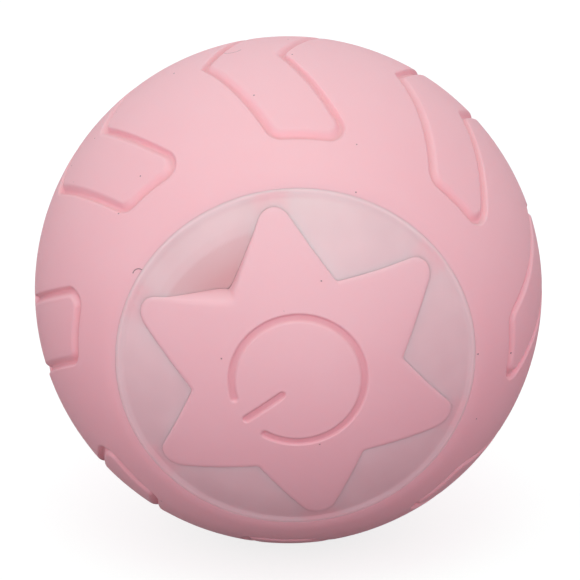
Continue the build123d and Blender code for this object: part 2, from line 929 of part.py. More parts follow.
# Core frame: stands on the board's far side and cradles the motor and the battery
with BuildPart() as core_frame:
    extrude(disc(frame_far_face, board_radius), amount=frame_plate)
    extrude(discs(frame_near_face, frame_leg_radius, post_places), amount=board_far_face - frame_near_face)
    cradle_length = frame_far_face - core_end
    extrude(ring(core_end, core_radius, cradle_radius), amount=cradle_length)
    extrude(discs(core_end, pillar_radius, pillar_places), amount=cradle_length)
    # Shelf between the motor and the battery, trimmed to the cradle
    shelf_width = 2 * rise(cradle_radius, shelf_top) + core_wall
    shelf_place = (0, -shelf_top - shelf_thickness / 2)
    extrude(plate(core_end, shelf_width, shelf_thickness, shelf_place), amount=cradle_length)
    # Saddles under the motor
    for saddle_offset in saddle_offsets:
        saddle_depth = saddle_top + shelf_top
        saddle_place = (0, saddle_top - saddle_depth / 2)
        extrude(
            plate(core_end + saddle_offset, saddle_width, saddle_depth, saddle_place),
            amount=saddle_thickness,
        )
    extrude(
        disc(core_end, motor_radius + motor_slip, motor_axle),
        amount=cradle_length,
        mode=Mode.SUBTRACT,
    )
    # Ribs under the battery
    for side in (-1, 1):
        rib_reach = side * battery_rib_spacing / 2
        rib_foot = rise(cradle_radius, battery_rib_spacing / 2) + core_wall / 2
        rib_top = battery_bottom + battery_play
        rib_place = (rib_reach, -(rib_foot + rib_top) / 2)
        extrude(
            plate(core_end, battery_rib_thickness, rib_foot - rib_top, rib_place),
            amount=cradle_length,
        )
    # Opening behind the motor and the battery for their leads
    opening_depth = back_opening_top + back_opening_bottom
    opening_place = (0, (back_opening_top - back_opening_bottom) / 2)
    extrude(
        plate(frame_far_face, back_opening_width, opening_depth, opening_place),
        amount=frame_plate,
        mode=Mode.SUBTRACT,
    )
    # Screw holes
    hole = frame_screw_radius + screw_slack
    extrude(
        discs(frame_far_face, hole, post_places),
        amount=board_far_face - frame_far_face,
        mode=Mode.SUBTRACT,
    )
    thread = gearbox_screw_radius + thread_fit
    extrude(discs(core_end, thread, pillar_places), amount=gearbox_screw_grip, mode=Mode.SUBTRACT)

with BuildPart() as frame_screws:
    extrude(
        discs(frame_far_face - frame_screw_head, frame_screw_head_radius, post_places),
        amount=frame_screw_head,
    )
    extrude(
        discs(frame_far_face, frame_screw_radius, post_places),
        amount=board_near_face + frame_screw_grip - frame_far_face - glue_line,
    )


# Battery pouch with its foam pad and leads
battery_place = (0, -(battery_top + battery_bottom) / 2)
battery_far_end = core_end + battery_offset
battery_near_end = battery_far_end + battery_length

with BuildPart() as battery_cell:
    with BuildSketch(level(battery_far_end)):
        with Locations(battery_place):
            RectangleRounded(battery_width, battery_thickness, battery_corner_round)
    extrude(amount=battery_length)

with BuildPart() as battery_foam:
    foam_place = (0, -battery_top + battery_pad / 2)
    foam_width = battery_width - 2 * battery_corner_round
    extrude(plate(battery_far_end, foam_width, battery_pad, foam_place), amount=battery_length)


def lead_pair(spacing, start_z, start_height):
    """Two wires side by side that step outward once on their way to the board."""
    with BuildPart() as pair:
        for side in (-1, 1):
            middle = (start_height + board_far_face) / 2
            with BuildLine() as route:
                FilletPolyline(
                    (side * spacing / 2, -start_height, start_z),
                    (side * spacing / 2, -middle + lead_bend / 2, start_z),
                    (side * (spacing + lead_step) / 2, -middle - lead_bend / 2, start_z),
                    (side * (spacing + lead_step) / 2, -board_far_face, start_z),
                    radius=lead_bend,
                )
            with BuildSketch(Plane(origin=route.line @ 0, z_dir=route.line % 0)) as core:
                Circle(lead_radius)
            sweep(core.sketch, path=route.line)
    return pair


battery_leads = lead_pair(lead_spacing, battery_place[1], battery_near_end)


# Motor, with its shaft and pinion
motor_near_face = core_end + motor_length
terminal_end = motor_near_face + motor_cap_length + terminal_length
motor_shaft_start = core_end + motor_shaft_inside
motor_shaft_end = first_layer - layer_thickness - motor_shaft_overhang
motor_leads = lead_pair(terminal_spacing, motor_offset, terminal_end)

with BuildPart() as motor_can:
    extrude(disc(core_end, motor_radius, motor_axle), amount=motor_length)
    extrude(disc(core_end - motor_boss_length, motor_boss_radius, motor_axle), amount=motor_boss_length)
    shaft_hole = motor_shaft_radius + shaft_slip
    hole_start = core_end - motor_boss_length
    hole_depth = motor_shaft_start + overrun - hole_start
    extrude(disc(hole_start, shaft_hole, motor_axle), amount=hole_depth, mode=Mode.SUBTRACT)
    thread = motor_screw_radius + thread_fit
    extrude(discs(core_end, thread, motor_screw_places), amount=motor_screw_grip, mode=Mode.SUBTRACT)

with BuildPart() as motor_end_cap:
    extrude(disc(motor_near_face, motor_cap_radius, motor_axle), amount=motor_cap_length)
    for side in (-1, 1):
        terminal_place = (side * terminal_spacing / 2, motor_offset)
        extrude(
            plate(motor_near_face, terminal_thickness, terminal_width, terminal_place),
            amount=motor_cap_length + terminal_length,
        )

with BuildPart() as motor_screws:
    extrude(
        discs(base_far_face, motor_screw_head_radius, motor_screw_places),
        amount=motor_screw_head,
    )
    extrude(
        discs(base_far_face + motor_screw_head, motor_screw_radius, motor_screw_places),
        amount=gearbox_plate - motor_screw_head + motor_screw_grip - glue_line,
    )

with BuildPart() as motor_shaft:
    extrude(
        disc(motor_shaft_end, motor_shaft_radius, motor_axle),
        amount=motor_shaft_start - motor_shaft_end,
    )

with BuildPart() as motor_pinion:
    bore = motor_shaft_radius + press_fit
    extrude(
        gear_face(first_layer - layer_thickness, pinion_teeth, motor_pinion_turn, bore, motor_axle),
        amount=layer_thickness,
    )


# Gearbox
gear_bore = gear_pin_radius + gear_slip
axle_places = [first_axle, second_axle]

with BuildPart() as gearbox_base:
    extrude(disc(base_far_face, core_radius), amount=gearbox_plate)
    hole = motor_boss_radius + motor_slip
    extrude(disc(base_far_face, hole, motor_axle), amount=gearbox_plate, mode=Mode.SUBTRACT)
    hole = base_bush_radius + press_fit
    extrude(disc(base_far_face, hole), amount=gearbox_plate, mode=Mode.SUBTRACT)
    hole = gearbox_screw_radius + screw_slack
    extrude(discs(base_far_face, hole, pillar_places), amount=gearbox_plate, mode=Mode.SUBTRACT)
    hole = motor_screw_radius + screw_slack
    extrude(discs(base_far_face, hole, motor_screw_places), amount=gearbox_plate, mode=Mode.SUBTRACT)
    sink = motor_screw_head_radius + screw_slack
    extrude(discs(base_far_face, sink, motor_screw_places), amount=motor_screw_head, mode=Mode.SUBTRACT)
    hole = gear_pin_radius + thread_fit
    extrude(discs(base_far_face, hole, axle_places), amount=pin_depth, mode=Mode.SUBTRACT)

with BuildPart() as gearbox_cover:
    cover_depth = base_far_face - cover_near_face
    extrude(disc(cover_far_face, core_radius), amount=gearbox_plate)
    extrude(ring(cover_near_face, core_radius, cradle_radius), amount=cover_depth)
    extrude(discs(cover_near_face, gearbox_pillar_radius, pillar_places), amount=cover_depth)
    extrude(disc(cover_bush_end, cover_boss_radius), amount=cover_far_face - cover_bush_end)
    hole = cover_bush_radius + press_fit
    extrude(disc(cover_bush_end, hole), amount=-cover_bush_end, mode=Mode.SUBTRACT)
    hole = gearbox_screw_radius + screw_slack
    extrude(
        discs(cover_far_face, hole, pillar_places),
        amount=base_far_face - cover_far_face,
        mode=Mode.SUBTRACT,
    )
    hole = gear_pin_radius + thread_fit
    extrude(
        discs(cover_near_face - pin_depth, hole, axle_places),
        amount=pin_depth,
        mode=Mode.SUBTRACT,
    )

with BuildPart() as gearbox_screws:
    extrude(
        discs(cover_far_face - gearbox_screw_head, gearbox_screw_head_radius, pillar_places),
        amount=gearbox_screw_head,
    )
    extrude(
        discs(cover_far_face, gearbox_screw_radius, pillar_places),
        amount=core_end + gearbox_screw_grip - cover_far_face - glue_line,
    )

with BuildPart() as gear_pins:
    extrude(
        discs(cover_near_face - pin_depth + glue_line, gear_pin_radius, axle_places),
        amount=base_far_face - cover_near_face + 2 * (pin_depth - glue_line),
    )

with BuildPart() as first_reduction_gear:
    extrude(
        gear_face(first_layer - layer_thickness, wheel_teeth, first_wheel_turn, gear_bore, first_axle),
        amount=layer_thickness,
    )
    extrude(
        gear_face(second_layer - layer_thickness, pinion_teeth, first_pinion_turn, gear_bore, first_axle),
        amount=layer_thickness + layer_gap,
    )

with BuildPart() as second_reduction_gear:
    extrude(
        gear_face(second_layer - layer_thickness, wheel_teeth, second_wheel_turn, gear_bore, second_axle),
        amount=layer_thickness,
    )
    extrude(
        gear_face(
            third_layer - output_layer_thickness, pinion_teeth, second_pinion_turn, gear_bore, second_axle
        ),
        amount=output_layer_thickness + layer_gap,
    )

with BuildPart() as base_bush:
    bush_bore = shaft_radius + shaft_slip
    extrude(ring(core_end - base_bush_length, base_bush_radius, bush_bore), amount=base_bush_length)

with BuildPart() as cover_bush:
    extrude(
        ring(cover_bush_end, cover_bush_radius, bush_bore),
        amount=cover_near_face + cover_bush_lift - cover_bush_end,
    )

with BuildPart() as far_bush:
    extrude(ring(far_bush_end, far_bush_radius, bush_bore), amount=far_bush_start - far_bush_end)


# Drive shaft and the swinging weight that hangs from it
shaft_clip_start = hub_end - clip_slip - clip_thickness
shaft_start = core_end - shaft_inset
shaft_end = far_bush_end - shaft_end_gap

with BuildPart() as drive_shaft:
    extrude(disc(shaft_end, shaft_radius), amount=shaft_start - shaft_end)
    extrude(
        ring(shaft_clip_start - clip_slip, shaft_radius + overrun, shaft_radius - clip_groove_depth / 2),
        amount=clip_thickness + 2 * clip_slip,
        mode=Mode.SUBTRACT,
    )

with BuildPart() as output_gear:
    bore = shaft_radius + press_fit
    extrude(
        gear_face(third_layer - output_layer_thickness, wheel_teeth, output_turn, bore),
        amount=output_layer_thickness,
    )

with BuildPart() as thrust_washer:
    extrude(
        ring(arm_start + washer_gap, washer_radius, shaft_radius + press_fit),
        amount=washer_thickness,
    )

with BuildPart() as shaft_clip:
    bore = shaft_radius - clip_groove_depth / 2 + clip_slip
    extrude(ring(shaft_clip_start, clip_radius, bore), amount=clip_thickness)

weight_half_sweep = weight_sweep / 2

with BuildPart() as swing_arm:
    with BuildSketch(level(arm_end)):
        Circle(arm_outer_reach)
        Circle(weight_inner_reach, mode=Mode.SUBTRACT)
        with BuildLine():
            Polyline(
                (0, 0),
                spot(2 * ball_radius, 270 - weight_half_sweep),
                spot(2 * ball_radius, 270 + weight_half_sweep),
                close=True,
            )
        make_face(mode=Mode.INTERSECT)
        with BuildLine():
            Polyline(
                (-arm_neck_width / 2, 0),
                (arm_neck_width / 2, 0),
                spot(weight_inner_reach + overrun, 270 + weight_half_sweep / 2),
                spot(weight_inner_reach + overrun, 270 - weight_half_sweep / 2),
                close=True,
            )
        make_face()
    extrude(amount=arm_thickness)
    extrude(disc(hub_end, hub_radius), amount=hub_length)
    bore = shaft_radius + press_fit
    extrude(disc(hub_end, bore), amount=hub_length, mode=Mode.SUBTRACT)
    hole = weight_screw_radius + screw_slack
    extrude(discs(arm_end, hole, weight_screw_places), amount=arm_thickness, mode=Mode.SUBTRACT)

with BuildPart() as swing_weight:
    with BuildSketch(section):
        with Locations((weight_inner_reach, arm_start)):
            Rectangle(
                weight_outer_reach - weight_inner_reach,
                weight_length,
                align=(Align.MIN, Align.MIN),
            )
    block = revolve(axis=Axis.Y, revolution_arc=weight_sweep, mode=Mode.PRIVATE)
    add(block, rotation=(0, 90 - weight_half_sweep, 0))
    Sphere(cavity_radius - weight_clearance, mode=Mode.INTERSECT)
    near_edges = swing_weight.edges().group_by(Axis.Y)[0]
    chamfer(near_edges, length=weight_edge_round)
    thread = weight_screw_radius + thread_fit
    extrude(discs(arm_start, thread, weight_screw_places), amount=weight_screw_grip, mode=Mode.SUBTRACT)

with BuildPart() as weight_screws:
    extrude(
        discs(arm_end - weight_screw_head, weight_screw_head_radius, weight_screw_places),
        amount=weight_screw_head,
    )
    extrude(
        discs(arm_end, weight_screw_radius, weight_screw_places),
        amount=arm_thickness + weight_screw_grip - glue_line,
    )


pieces = {
    "tread_skin": tread_skin,
    "near_half_shell": near_half_shell,
    "far_half_shell": far_half_shell,
    "far_star": far_star,
    "joint_seal": joint_seal,
    "rim_screws": rim_screws,
    "well_gasket": well_gasket,
    "port_plate": port_plate,
    "port_screws": port_screws,
    "plunger_seal": plunger_seal,
    "cap_body": cap_body,
    "cap_seal": cap_seal,
    "button_spring": button_spring,
    "star_carrier": star_carrier,
    "stem_clip": stem_clip,
    "star_pad": star_pad,
    "circuit_board": circuit_board,
    "usb_shell": usb_shell,
    "usb_tongue": usb_tongue,
    "switch_body": switch_body,
    "switch_plunger": switch_plunger,
    "leds": leds,
    "control_chip": control_chip,
    "motor_driver": motor_driver,
    "motion_sensor": motion_sensor,
    "core_frame": core_frame,
    "frame_screws": frame_screws,
    "battery_cell": battery_cell,
    "battery_foam": battery_foam,
    "battery_leads": battery_leads,
    "motor_can": motor_can,
    "motor_end_cap": motor_end_cap,
    "motor_leads": motor_leads,
    "motor_screws": motor_screws,
    "motor_shaft": motor_shaft,
    "motor_pinion": motor_pinion,
    "gearbox_base": gearbox_base,
    "gearbox_cover": gearbox_cover,
    "gearbox_screws": gearbox_screws,
    "gear_pins": gear_pins,
    "first_reduction_gear": first_reduction_gear,
    "second_reduction_gear": second_reduction_gear,
    "base_bush": base_bush,
    "cover_bush": cover_bush,
    "far_bush": far_bush,
    "drive_shaft": drive_shaft,
    "output_gear": output_gear,
    "thrust_washer": thrust_washer,
    "shaft_clip": shaft_clip,
    "swing_arm": swing_arm,
    "swing_weight": swing_weight,
    "weight_screws": weight_screws,
}

os.makedirs("parts", exist_ok=True)
for name, piece in pieces.items():
    piece.part.label = name
    export_step(piece.part, f"parts/{name}.step")
    print(name, round(piece.part.volume, 1))
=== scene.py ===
import json
import math

import bmesh
import bpy
import numpy as np
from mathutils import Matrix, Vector


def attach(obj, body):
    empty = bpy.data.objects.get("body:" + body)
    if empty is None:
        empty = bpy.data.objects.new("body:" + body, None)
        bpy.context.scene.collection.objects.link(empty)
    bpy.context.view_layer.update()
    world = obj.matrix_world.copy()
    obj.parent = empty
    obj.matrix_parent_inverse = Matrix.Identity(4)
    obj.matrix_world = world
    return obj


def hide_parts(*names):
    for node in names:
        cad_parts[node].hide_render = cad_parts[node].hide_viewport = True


# Self-driving rolling ball for dogs: pink rubber tread, frosted windows, a star button on
# the near side and a plain star on the far one.
# The hub axis is Y. A height is measured from the centre toward the near pole, at -Y,
# and an angle is seen from outside that pole, from +X toward +Z.

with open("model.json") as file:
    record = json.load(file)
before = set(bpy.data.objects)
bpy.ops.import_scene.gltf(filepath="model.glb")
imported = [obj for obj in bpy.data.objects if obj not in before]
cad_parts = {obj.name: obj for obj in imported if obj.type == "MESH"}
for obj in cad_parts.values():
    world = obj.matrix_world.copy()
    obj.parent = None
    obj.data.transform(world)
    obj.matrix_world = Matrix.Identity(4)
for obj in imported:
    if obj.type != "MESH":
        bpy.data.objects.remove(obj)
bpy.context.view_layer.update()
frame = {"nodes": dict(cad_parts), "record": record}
print("frame loaded:", len(frame["nodes"]), "nodes")

mm = 0.001
ball = {  # radii in millimetres: tread, stars, windows, half shells, star pockets, hollow
    "radius": 43.0, "star": 42.45, "window": 42.2, "shell": 39.9, "pocket": 39.55, "cavity": 37.8,
}


# shaping helpers that every piece shares
def rise(radius, reach):
    # height of a sphere's surface at a reach from the axis, or its reach at a height
    return math.sqrt(radius * radius - reach * reach)


def flat(turn, reach):
    # point in the plane across the axis
    return Vector((reach * math.cos(turn), reach * math.sin(turn)))


def polar(turn, reach, height):
    # point of the ball, still in millimetres
    return Vector((reach * math.cos(turn), -height, reach * math.sin(turn)))


def softStep(value, low, high):
    share = min(max((value - low) / (high - low), 0), 1)
    return share * share * (3 - 2 * share)


def rows(kind, shares):
    return [(kind, share) for share in shares]


def even(steps):
    return [step / steps for step in range(steps + 1)]


def spinProfile(profile, columns, closed):
    # profile holds (reach, height) in millimetres; row numbers are kept in a layer
    bm = bmesh.new()
    row = bm.verts.layers.int.new("row")
    points = []
    for index, (reach, height) in enumerate(profile):
        point = bm.verts.new((reach, -height, 0))
        point[row] = index
        points.append(point)
    pairs = list(zip(points, points[1:]))
    if closed:
        pairs.append((points[-1], points[0]))
    edges = [bm.edges.new(pair) for pair in pairs]
    bmesh.ops.spin(
        bm, geom=points + edges, cent=(0, 0, 0), axis=(0, -1, 0), dvec=(0, 0, 0),
        angle=math.tau, steps=columns, use_merge=True, use_duplicate=False,
    )
    return bm, row


def spinRows(count, axisRows, columns, closed):
    # rows that get their shape later: only their order and those on the axis count here
    profile = [
        (0.0 if index in axisRows else 5.0 + index * 0.1, index * 0.01) for index in range(count)
    ]
    return spinProfile(profile, columns, closed)


def columnOf(point, total):
    return round(math.atan2(point.co.z, point.co.x) / (math.tau / total)) % total


def finishPiece(name, bm, material, body, nodes, smoothAngle):
    bmesh.ops.remove_doubles(bm, verts=bm.verts[:], dist=1e-7)
    loose = [edge for edge in bm.edges if not edge.link_faces]
    bmesh.ops.delete(bm, geom=loose, context="EDGES")
    bmesh.ops.recalc_face_normals(bm, faces=bm.faces[:])
    for face in bm.faces:
        face.smooth = True
    sharp = math.radians(smoothAngle)
    for edge in bm.edges:
        if len(edge.link_faces) == 2 and edge.calc_face_angle(0) > sharp:
            edge.smooth = False
    mesh = bpy.data.meshes.new(name)
    bm.to_mesh(mesh)
    bm.free()
    piece = bpy.data.objects.new(name, mesh)
    bpy.context.scene.collection.objects.link(piece)
    piece.data.materials.append(material)
    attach(piece, body)
    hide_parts(*nodes)
    print("made", name, len(mesh.vertices), "points")


# material helpers: a value is either a plain one or the output of another node
def join(tree, value, socket):
    if hasattr(value, "is_output"):
        tree.links.new(value, socket)
    else:
        socket.default_value = value


def addNode(tree, kind, settings=None, values=None):
    node = tree.nodes.new(kind)
    for key, value in (settings or {}).items():
        setattr(node, key, value)
    for key, value in (values or {}).items():
        join(tree, value, node.inputs[key])
    return node


def newGroup(name, inputs, outputs):
    # every socket carries a number, and inputs holds the usual one of each
    group = bpy.data.node_groups.new(name, "ShaderNodeTree")
    for label, value in inputs.items():
        socket = group.interface.new_socket(label, in_out="INPUT", socket_type="NodeSocketFloat")
        socket.default_value = value
    for label in outputs:
        group.interface.new_socket(label, in_out="OUTPUT", socket_type="NodeSocketFloat")
    return group, group.nodes.new("NodeGroupInput"), group.nodes.new("NodeGroupOutput")


def maths(tree, operation, *values):
    node = addNode(tree, "ShaderNodeMath", {"operation": operation}, dict(enumerate(values)))
    return node.outputs[0]


def vectorMaths(tree, operation, *values):
    sockets = (0, "Scale") if operation == "SCALE" else (0, 1)
    settings = {"operation": operation}
    node = addNode(tree, "ShaderNodeVectorMath", settings, dict(zip(sockets, values)))
    return node.outputs["Value" if operation in ("LENGTH", "DOT_PRODUCT") else "Vector"]


def stretch(tree, value, fromLow, fromHigh, toLow, toHigh):
    spread = addNode(tree, "ShaderNodeMapRange", {"clamp": True}, {
        "Value": value, "From Min": fromLow, "From Max": fromHigh,
        "To Min": toLow, "To Max": toHigh,
    })
    return spread.outputs["Result"]


def fromNoise(tree, value, low, high):
    # noise hardly leaves 0.3 to 0.7, so that part of it is spread over low to high
    return stretch(tree, value, 0.3, 0.7, low, high)


def blendColours(tree, mask, low, high):
    mix = addNode(tree, "ShaderNodeMix", {"data_type": "RGBA"}, {"Factor": mask})
    for socket, value in ((mix.inputs[6], low), (mix.inputs[7], high)):
        join(tree, value if hasattr(value, "is_output") else (*value, 1), socket)
    return mix.outputs[2]


def bumped(tree, shader, height, strength, distance):
    values = {"Strength": strength, "Distance": distance, "Height": height}
    bump = addNode(tree, "ShaderNodeBump", values=values)
    join(tree, bump.outputs["Normal"], shader.inputs["Normal"])


def newMaterial(name, values):
    material = bpy.data.materials.new(name)
    material.use_nodes = True
    tree = material.node_tree
    shader = tree.nodes["Principled BSDF"]
    for label, value in values.items():
        shader.inputs[label].default_value = value
    return material, tree, shader


# groups that several finishes use
grain = {"Scale": 1800.0, "Drift Scale": 60.0}
dust = {
    "Speck Scale": 300.0, "Speck Size": 0.05, "Hair Scale": 55.0, "Hair Width": 0.0035,
    "Share": 0.3, "Hair Share": 0.4,
}
hair = {"shift": 0.22, "curl": 0.09, "cut": 0.004}  # in widths of a cell


def makeGrain():
    # fine moulded grain with a slow drift of tone
    group, start, end = newGroup("mouldedGrain", grain, ["Height", "Drift"])
    place = addNode(group, "ShaderNodeTexCoord").outputs["Object"]
    fine = {"Scale": start.outputs["Scale"], "Detail": 3.0, "Roughness": 0.6}
    broad = {"Scale": start.outputs["Drift Scale"], "Detail": 2.0, "Roughness": 0.5}
    for values, label in ((fine, "Height"), (broad, "Drift")):
        noise = addNode(group, "ShaderNodeTexNoise", values={"Vector": place, **values})
        join(group, noise.outputs["Fac"], end.inputs[label])
    return group


def cells(tree, place, scale):
    # cells of a scattered pattern, and the three numbers that each cell draws
    values = {"Vector": place, "Scale": scale, "Randomness": 1.0}
    cell = addNode(tree, "ShaderNodeTexVoronoi", {"feature": "F1"}, values)
    tint = addNode(tree, "ShaderNodeSeparateColor", values={"Color": cell.outputs["Color"]})
    return cell, tint


def makeDust():
    # sparse dark dust grains and short curled hairs that cling to rubber
    group, start, end = newGroup("clingingDust", dust, ["Mask"])
    place = addNode(group, "ShaderNodeTexCoord").outputs["Object"]
    cell, tint = cells(group, place, start.outputs["Speck Scale"])
    near = maths(group, "LESS_THAN", cell.outputs["Distance"], start.outputs["Speck Size"])
    chosen = maths(group, "LESS_THAN", tint.outputs["Red"], start.outputs["Share"])
    specks = maths(group, "MULTIPLY", near, chosen)

    # a hair is where a thin sphere round a shifted cell centre meets the surface
    cell, tint = cells(group, place, start.outputs["Hair Scale"])
    fromCentre = vectorMaths(group, "SUBTRACT", place, cell.outputs["Position"])
    grown = vectorMaths(group, "SCALE", fromCentre, start.outputs["Hair Scale"])
    turned = vectorMaths(group, "SUBTRACT", cell.outputs["Color"], (0.5, 0.5, 0.5))
    shifted = vectorMaths(group, "ADD", grown, vectorMaths(group, "SCALE", turned, hair["shift"]))
    away = vectorMaths(group, "LENGTH", shifted)
    offLine = maths(group, "ABSOLUTE", maths(group, "SUBTRACT", away, hair["curl"]))
    onLine = maths(group, "LESS_THAN", offLine, start.outputs["Hair Width"])
    side = vectorMaths(group, "DOT_PRODUCT", shifted, turned)
    arc = maths(group, "MULTIPLY", onLine, maths(group, "GREATER_THAN", side, hair["cut"]))
    picked = maths(group, "LESS_THAN", tint.outputs["Green"], start.outputs["Hair Share"])
    hairs = maths(group, "MULTIPLY", arc, picked)
    join(group, maths(group, "MAXIMUM", specks, hairs), end.inputs["Mask"])
    return group


grainGroup = makeGrain()
dustGroup = makeDust()


def grainy(tree, scales, deep, pale):
    # height of the grain, and a body colour that drifts between deep and pale
    node = addNode(tree, "ShaderNodeGroup", {"node_tree": grainGroup}, scales)
    drift = fromNoise(tree, node.outputs["Drift"], 0.0, 1.0)
    return node.outputs["Height"], blendColours(tree, drift, deep, pale)


def attribute(tree, name):
    return addNode(tree, "ShaderNodeAttribute", {"attribute_name": name}).outputs["Fac"]


# pink rubber of the tread and of the stars
# the third colour of each look is a deeper pink painted as shade into the tread's grooves, the
# power symbol's groove and the star's side in the pit
rubberLook = {
    "pale": (0.95, 0.475, 0.545), "deep": (0.94, 0.455, 0.525), "groove": (0.92, 0.425, 0.485),
}
starLook = {
    "pale": (0.92, 0.488, 0.557), "deep": (0.91, 0.468, 0.537), "groove": (0.85, 0.375, 0.44),
}
rubberFinish = {
    "grain": {"Scale": 2600.0, "Drift Scale": 45.0}, "roughness": (0.52, 0.66),
    "dust": (0.20, 0.10, 0.11), "dustCover": 0.75, "bump": (0.12, 0.00006),
    "shader": {
        "Specular IOR Level": 0.28, "Sheen Weight": 0.12, "Sheen Roughness": 0.5,
        "Subsurface Weight": 0.22, "Subsurface Radius": (1.0, 0.35, 0.3),
        "Subsurface Scale": 0.0012,
    },
}


def makeRubber(name, look):
    finish = rubberFinish
    material, tree, shader = newMaterial(name, finish["shader"])
    height, body = grainy(tree, finish["grain"], look["deep"], look["pale"])
    # deeper pink painted as shade wherever the mesh's attribute marks it
    withPaintedShade = blendColours(tree, attribute(tree, "paintedShading"), body, look["groove"])
    mask = addNode(tree, "ShaderNodeGroup", {"node_tree": dustGroup}).outputs["Mask"]
    cover = stretch(tree, mask, 0, 1, 0, finish["dustCover"])
    join(tree, blendColours(tree, cover, withPaintedShade, finish["dust"]), shader.inputs["Base Color"])
    join(tree, fromNoise(tree, height, *finish["roughness"]), shader.inputs["Roughness"])
    bumped(tree, shader, height, *finish["bump"])
    return material


# frosted plastic of the half shells
frostLook = {
    "pale": (0.88, 0.56, 0.615), "deep": (0.81, 0.505, 0.56),
    # pit is painted shade, tinted pink, for the recess and the star's pocket; rim is a painted
    # highlight along the window's edge; glow is painted pink light round the star's tips
    "pit": (0.71, 0.345, 0.38), "rim": (0.95, 0.575, 0.63), "glow": (0.94, 0.465, 0.53),
    "grain": {"Scale": 1500.0, "Drift Scale": 90.0}, "roughness": (0.38, 0.5),
    "bump": (0.08, 0.00005),
    "shader": {
        "Specular IOR Level": 0.4, "Subsurface Weight": 0.5,
        "Subsurface Radius": (1.0, 0.7, 0.7), "Subsurface Scale": 0.002,
    },
}


def makeFrost(name, look):
    material, tree, shader = newMaterial(name, look["shader"])
    height, body = grainy(tree, look["grain"], look["deep"], look["pale"])
    # -1 marks the painted highlight along the window's edge, 1 the painted shade of the pit and the
    # pocket
    paintedShading = attribute(tree, "paintedShading")  # -1 on the pale rim line, 1 in the pit and the pocket
    rimHighlighted = blendColours(tree, stretch(tree, paintedShading, -1, 0, 1, 0), body, look["rim"])
    # painted pink glow round the star's tips
    withPaintedGlow = blendColours(tree, attribute(tree, "glow"), rimHighlighted, look["glow"])
    join(tree, blendColours(tree, paintedShading, withPaintedGlow, look["pit"]), shader.inputs["Base Color"])
    join(tree, fromNoise(tree, height, *look["roughness"]), shader.inputs["Roughness"])
    bumped(tree, shader, height, *look["bump"])
    return material


rubber = makeRubber("pinkRubber", rubberLook)
starRubber = makeRubber("starRubber", starLook)
frosted = makeFrost("frostedPlastic", frostLook)
print("rubber and frosted plastic mixed")


# tread skin
tread = {
    "count": 8, "middleAngle": 48.95, "slant": 25.2, "limbWidth": 12.15, "notchOffset": 1.9,
    "endHeight": 22.3, "cornerRound": 2.8, "apexRound": 1.5,
    "depth": 0.85, "floorHalf": 0.22, "outerLip": 0.62, "padLip": 1.4,
    "opening": 30.4, "rimWidth": 2.4, "rimDrop": 0.45, "rimTurn": (0.02, 0.06), "rimWall": 0.8,
    "inside": 40.0,
}
treadMesh = {  # places in millimetres from a groove or the middle plane, and numbers of steps
    "outside": [-2.3, -1.7, -1.3], "fineStart": -1.05, "fineStep": 0.17, "fineCount": 26,
    "inside": [3.6, 4.1], "apex": [2.2, 1.8, 1.45, 1.1, 0.8, 0.5, 0.25],
    "padSteps": 4, "gapSteps": 9, "lipSteps": 11, "shoulderSteps": 6, "flankSteps": 9,
    "wallSteps": 9,
}
slant = math.radians(tread["slant"])
fineOffsets = [
    treadMesh["fineStep"] * step + treadMesh["fineStart"] for step in range(treadMesh["fineCount"])
]
sideOffsets = treadMesh["outside"] + fineOffsets + treadMesh["inside"]


def roundedCorner(before, corner, after, radius, steps=12):
    # arc that replaces a corner, as points from one side to the other
    a = (before - corner).normalized()
    b = (after - corner).normalized()
    half = math.acos(max(-1, min(1, a.dot(b)))) / 2
    back = radius / math.tan(half)
    centre = corner + (a + b).normalized() * (radius / math.sin(half))
    start, end = corner + a * back - centre, corner + b * back - centre
    sweep = start.angle_signed(end)
    points = []
    for index in range(steps + 1):
        turn = -sweep * index / steps
        points.append(centre + Vector((
            start.x * math.cos(turn) - start.y * math.sin(turn),
            start.x * math.sin(turn) + start.y * math.cos(turn),
        )))
    return points


def straight(start, end, steps):
    # points between two others, without these
    return [start.lerp(end, step / steps) for step in range(1, steps)]


def limbLine(which, height):
    # sideways place of a chevron's notch side (-1) or tip side (1) at a height
    notch = -tread["notchOffset"] - min(abs(height), tread["endHeight"]) * math.tan(slant)
    return notch if which < 0 else notch + tread["limbWidth"] / math.cos(slant)


def chevronOutline():
    # middle of the groove round one chevron, flat: sideways and height
    end = tread["endHeight"]
    corners = [(Vector((limbLine(1, height), height)), height) for height in (end, 0, -end)]
    corners += [(Vector((limbLine(-1, height), height)), height) for height in (-end, 0, end)]
    arcs = []
    for index, (corner, height) in enumerate(corners):
        radius = tread["cornerRound"] if height else tread["apexRound"]
        before, after = corners[index - 1][0], corners[(index + 1) % len(corners)][0]
        arcs.append(roundedCorner(before, corner, after, radius))
    line = []
    for index, arc in enumerate(arcs):
        line += arc + straight(arc[-1], arcs[(index + 1) % len(arcs)][0], 16)
    return np.array([(p.x, p.y) for p in line])


def distanceToLine(points, line):
    # shortest way from each point to the closed line, negative inside it
    start, end = line, np.roll(line, -1, axis=0)
    along = end - start
    gone = points[:, None, :] - start[None]
    share = np.clip((gone * along).sum(2) / np.maximum((along ** 2).sum(1), 1e-9), 0, 1)
    away = np.sqrt(((gone - share[..., None] * along) ** 2).sum(2)).min(1)
    crossed = (start[:, 1] > points[:, 1:2]) != (end[:, 1] > points[:, 1:2])
    run = np.where(np.abs(along[:, 1]) < 1e-9, 1e-9, along[:, 1])
    edge = start[:, 0] + (points[:, 1:2] - start[:, 1]) / run * along[:, 0]
    within = (crossed & (points[:, 0:1] < edge)).sum(1) % 2 == 1
    return np.where(within, -away, away)


def treadColumns():
    # columns of one sector crowd along the grooves on both sides of a chevron
    columns = rows(-1, sideOffsets) + rows("inner", even(treadMesh["padSteps"])[1:-1])
    columns += [(1, -value) for value in reversed(sideOffsets)]
    return columns + rows("outer", even(treadMesh["gapSteps"])[1:-1])


